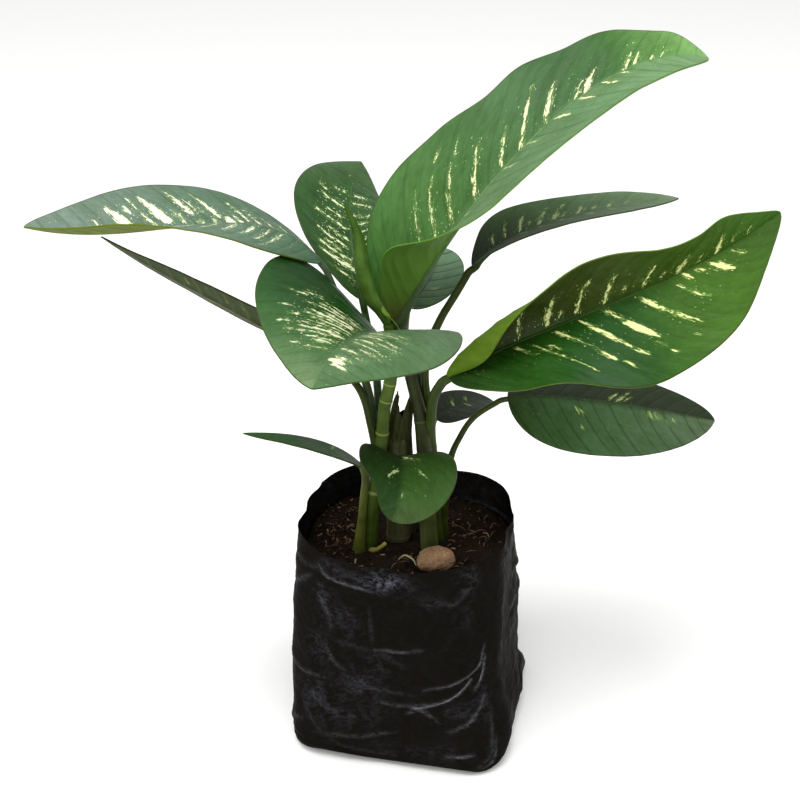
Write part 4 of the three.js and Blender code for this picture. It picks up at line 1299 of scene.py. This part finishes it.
def make_soil():
    bm, turn, up = new_grid(240, 80)
    share = np.clip(up, 0.004, 1)
    level = np.full(len(share), float(SOIL_LEVEL))
    points = bag_place(level, np.pi * turn, bag_radius(level, np.pi * turn, SOIL_INSET) * share)
    lumps = 2.2 * smooth_noise(points, 22, seed=8) + 1.2 * smooth_noise(points, 7, seed=9)
    lumps = lumps + 0.7 * smooth_noise(points, 2.6, seed=10)
    points[:, 2] += lumps + mound(points[:, 0], points[:, 1]) - 1.0 - 2.0 * share**8
    set_vertices(bm, points)
    weld(bm, 0.02, lambda edge: edge.is_boundary and edge.verts[0].co.xy.length < 20)
    if sum(face.normal.z for face in bm.faces) < 0:
        bmesh.ops.reverse_faces(bm, faces=bm.faces)
    piece = finish_piece("mix_surface", bm, [potting_mix()], "potting_soil")
    thicken(piece, SOIL_DEPTH)
    return piece


print("mix has", len(make_soil().data.polygons), "faces")

# %% [markdown]
# The chips and fibres are coconut husk: tan to dark brown, dry and rough. Four broken blocks are
# shaped once and then laid down again and again at other sizes, turns and tones, thickest where
# the areas below say and thinly everywhere else.

# %% Chips
MOUTH_SHIFT = 3  # how far the bag's mouth lies to the left of the model's axis
BLOCKS = 4
CHIP_AREAS = [
    # centre x, y, spread x, y, count, share of pale chips
    (-50, 16, 10, 24, 560, 0.5),
    (40, 22, 15, 18, 260, 0.35),
    (6, -20, 24, 12, 240, 0.3),
    (-4, -40, 20, 8, 120, 0.4),
    (0, 0, 52, 52, 700, 0.05),
]


def husk():
    # Coconut husk, chopped and dried: rough, and from dark brown to pale tan, chip by chip. Its
    # fibres are drawn 1 mm apart, coarser than real ones, so that they show.
    material, node = new_material("coir_chips", 0.9, 0.15)
    grain = node("TexNoise", {}, node("TexCoord", {}, out="Object"), Scale=900.0, Detail=3.0)
    tone = node("ValToRGB", {}, node("Attribute", {"attribute_name": "tone"}, out="Fac"))
    ramp = tone.node.color_ramp.elements
    ramp[0].color, ramp[1].color = colour("#0e0906"), colour("#bfa588")
    for position, value in ((0.5, "#22160e"), (0.72, "#553627"), (0.88, "#8c6850")):
        ramp.new(position).color = colour(value)
    return finish_material(material, node("Mix", MULTIPLY, grain, tone, "#9a8a78"), grain, 0.6, 0.0004)


HUSK = husk()


def chip_block(seed):
    bm = bmesh.new()
    bmesh.ops.create_cube(bm, size=1)
    bmesh.ops.subdivide_edges(bm, edges=bm.edges, cuts=1)
    rng = random.Random(seed)
    for vertex in bm.verts:
        vertex.co *= 0.8 + 0.35 * rng.random()
        vertex.co += Vector((rng.uniform(-0.1, 0.1) for _ in range(3)))
    mesh = to_mesh("chip_block", bm)
    mesh.attributes.new("tone", "FLOAT", "POINT")
    return mesh


def spots(rng, areas, inset):
    """Chance places on the mix that lie inside the bag's wall, with the end of each area's row."""
    for x0, y0, spread_x, spread_y, count, *rest in areas:
        for _ in range(count):
            x, y = rng.gauss(x0, spread_x), rng.gauss(y0, spread_y)
            angle = math.atan2(y, x + MOUTH_SHIFT) - BAG_TURN
            if math.hypot(x + MOUTH_SHIFT, y) <= bag_radius(SOIL_LEVEL, angle, inset):
                yield (x, y, SOIL_LEVEL + float(mound(x, y)), *rest)


def scatter_chips():
    blocks = [chip_block(k) for k in range(BLOCKS)]
    rng = random.Random(5)
    bm = bmesh.new()
    bm.verts.layers.float.new("tone")
    for x, y, z, pale in spots(rng, CHIP_AREAS, 5):
        size = 0.3 + 1.1 * rng.random() ** 3.5
        sides = (size * rng.uniform(1.2, 4), size * rng.uniform(0.5, 1), size * rng.uniform(0.25, 0.6), 1)
        turn = Matrix.Rotation(rng.uniform(0, 6.3), 4, "Z")
        turn = turn @ Matrix.Rotation(rng.uniform(-0.7, 0.7), 4, "Y")
        mesh = blocks[rng.randrange(BLOCKS)].copy()
        place = Matrix.Translation((x, y, z + rng.uniform(-0.5, 1.4)))
        mesh.transform(place @ turn @ Matrix.Diagonal(sides))
        tone = rng.uniform(0.68, 1) if rng.random() < pale else rng.uniform(0, 0.62)
        mesh.attributes["tone"].data.foreach_set("value", [tone] * len(mesh.vertices))
        bm.from_mesh(mesh)
        bpy.data.meshes.remove(mesh)
    for block in blocks:
        bpy.data.meshes.remove(block)
    bmesh.ops.recalc_face_normals(bm, faces=bm.faces)
    piece = finish_piece("husk_chips", bm, [HUSK])
    piece.data.polygons.foreach_set("use_smooth", [False] * len(piece.data.polygons))
    return piece


print("chips have", len(scatter_chips().data.polygons), "faces")

# %% [markdown]
# Pale coir fibres a few millimetres to a centimetre long lie among the chips. Each is a rolled grid
# of a few dozen faces, bent to an arc, and all of them are one mesh. One thicker curled fibre lies
# beside the pebble.

# %% Fibres
FIBRE_AREAS = [(46, 14, 12, 16, 26), (-46, 4, 12, 20, 22), (2, -22, 22, 10, 16)]
FIBRE_TONE = 0.93


def laid_fibre(length, radius, bend, place, heading):
    bm, turn, up = new_grid(5, 7)
    angle = np.pi * (turn + 1)
    along_fibre = 2 * up - 1
    run = along_fibre * bend
    thick = radius * (1.05 - along_fibre**2) ** 0.4
    arc = length / (2 * bend)
    out = arc + thick * np.cos(angle)
    x, y, z = out * np.sin(run), thick * np.sin(angle), out * np.cos(run) - arc * math.cos(bend)
    c, s = math.cos(heading), math.sin(heading)
    set_vertices(bm, np.stack([x * c - y * s, x * s + y * c, z], axis=1) + np.array(place))
    weld(bm, 0.01, lambda edge: True)
    return to_mesh("fibre", bm)


def scatter_fibres():
    rng = random.Random(9)
    bm = bmesh.new()
    for x, y, z in spots(rng, FIBRE_AREAS, 10):
        place = (x, y, z + rng.uniform(-0.3, 0.3))
        shape = rng.uniform(4, 11), rng.uniform(0.16, 0.3), rng.uniform(0.3, 1.1)
        fibre = laid_fibre(*shape, place, rng.uniform(0, 6.3))
        bm.from_mesh(fibre)
        bpy.data.meshes.remove(fibre)
    bmesh.ops.recalc_face_normals(bm, faces=bm.faces)
    piece = finish_piece("coir_fibres", bm, [HUSK])
    add_values(piece, "tone", np.full(len(piece.data.vertices), FIBRE_TONE))
    return piece


print("fibres have", len(scatter_fibres().data.polygons), "faces")
CURL_SKIN = stem_skin("curled_fibre_skin", "#8f865c", "#cfc6a2", "#b8ae80")
CURL_PATH = [
    (-9, -26, 134), (-7.5, -25, 136.5), (-4, -24, 138), (-1, -25.5, 137.5), (2, -28, 136.5),
    (3.5, -31, 134),
]
CURL_RADIUS = (0.35, 0.5, 0.75, 0.7, 0.6, 0.35)
tube("curled_fibre", CURL_PATH, CURL_RADIUS, CURL_SKIN, sides=12, step=0.8)

# %% [markdown]
# ## The clay pebble
# A lump of dry clay lies at the front right. It is a fine round mesh, roughened at four sizes and
# then flattened.

# %% Make the pebble
PEBBLE_PLACE = (16.5, -34, 141)
PEBBLE_SIZE = (13.5, 10, 8.5)  # half of its length, width and height
PEBBLE_TURN = math.radians(12)


def clay():
    # Clay, rolled and dried: chalky and matt, pale on its grains of 1.4 mm and dark in its pits,
    # with patches of 6 mm.
    material, node = new_material("dry_clay", 0.95, 0.1)
    place = node("TexCoord", {}, out="Object")
    grain = node("TexNoise", {}, place, Scale=700.0, Detail=5.0, Roughness=0.7)
    patch = node("TexNoise", {}, place, Scale=160.0, Detail=3.0)
    base = node("Mix", BLEND, patch, "#72563f", "#a58464")
    base = node("Mix", BLEND, node("MapRange", {}, grain, 0.55, 0.7, 0.0, 0.7), base, "#cdb296")
    base = node("Mix", BLEND, node("MapRange", {}, grain, 0.42, 0.3, 0.0, 0.8), base, "#33241a")
    return finish_material(material, base, grain, 0.8, 0.0008)


def make_pebble():
    bm = bmesh.new()
    bmesh.ops.create_icosphere(bm, subdivisions=5, radius=1)
    ball = np.array([v.co for v in bm.verts])
    lump = 1
    for height, size, seed in ((0.13, 0.8, 3), (0.07, 0.3, 4), (0.045, 0.12, 5), (0.02, 0.05, 6)):
        lump = lump + height * smooth_noise(ball, size, seed=seed)
    set_vertices(bm, ball * lump[:, None])
    shape = Matrix.Rotation(PEBBLE_TURN, 4, "Z") @ Matrix.Diagonal((*PEBBLE_SIZE, 1))
    bmesh.ops.transform(bm, verts=bm.verts, matrix=Matrix.Translation(PEBBLE_PLACE) @ shape)
    return finish_piece("pebble", bm, [clay()], "clay_pebble")


print("pebble has", len(make_pebble().data.polygons), "faces")

# %% [markdown]
# ## Stage
# The plant stands on a pale plain floor in soft studio light: a broad panel overhead, weaker ones
# on each side and in front, and an even white surround.

# %% Floor, light and camera
floor_mesh = bmesh.new()
bmesh.ops.create_grid(floor_mesh, x_segments=1, y_segments=1, size=6)
floor = bpy.data.objects.new("floor", to_mesh("floor", floor_mesh))
floor.location.z = -0.001
bpy.context.collection.objects.link(floor)
FLOOR_PAINT = new_material("pale_floor", 0.9, 0.3)[0]
FLOOR_PAINT.node_tree.nodes["Principled BSDF"].inputs["Base Color"].default_value = colour("#f7f7f5")
floor.data.materials.append(FLOOR_PAINT)

PANELS = [  # name, place, target, width, power
    ("overhead", (-0.2, -0.5, 2.0), (0, 0, 0.2), 1.3, 34),
    ("left_side", (-1.8, -0.6, 1.1), (0, 0, 0.25), 0.9, 14),
    ("right_side", (1.9, 0.2, 1.0), (0, 0, 0.25), 0.9, 10),
    ("front_fill", (0.1, -2.6, 1.0), (0, 0, 0.2), 1.4, 12),
]
for name, place, target, size, power in PANELS:
    light = bpy.data.lights.new(name, "AREA")
    light.shape = "DISK"
    light.size = size
    light.energy = power
    lamp = bpy.data.objects.new(name, light)
    lamp.location = place
    lamp.rotation_euler = (Vector(target) - Vector(place)).to_track_quat("-Z", "Y").to_euler()
    bpy.context.collection.objects.link(lamp)
bpy.context.scene.view_settings.view_transform = "Standard"

world = bpy.data.worlds.new("studio")
world.use_nodes = True
world.node_tree.nodes["Background"].inputs["Color"].default_value = colour("#ffffff")
world.node_tree.nodes["Background"].inputs["Strength"].default_value = 0.72
bpy.context.scene.world = world

CAMERA_ELEVATION = math.radians(28)
CAMERA_DISTANCE = 1.25
CAMERA_TARGET = Vector((-0.0075, 0, 0.2456))
camera_data = bpy.data.cameras.new("camera")
camera_data.sensor_width = 36
camera_data.lens = 84.15
camera = bpy.data.objects.new("camera", camera_data)
back = Vector((0, -math.cos(CAMERA_ELEVATION), math.sin(CAMERA_ELEVATION)))
camera.location = CAMERA_TARGET + back * CAMERA_DISTANCE
camera.rotation_euler = back.to_track_quat("Z", "Y").to_euler()
bpy.context.collection.objects.link(camera)
bpy.context.scene.camera = camera
print(len(PANELS), "lights, camera at", [round(c, 3) for c in camera.location])
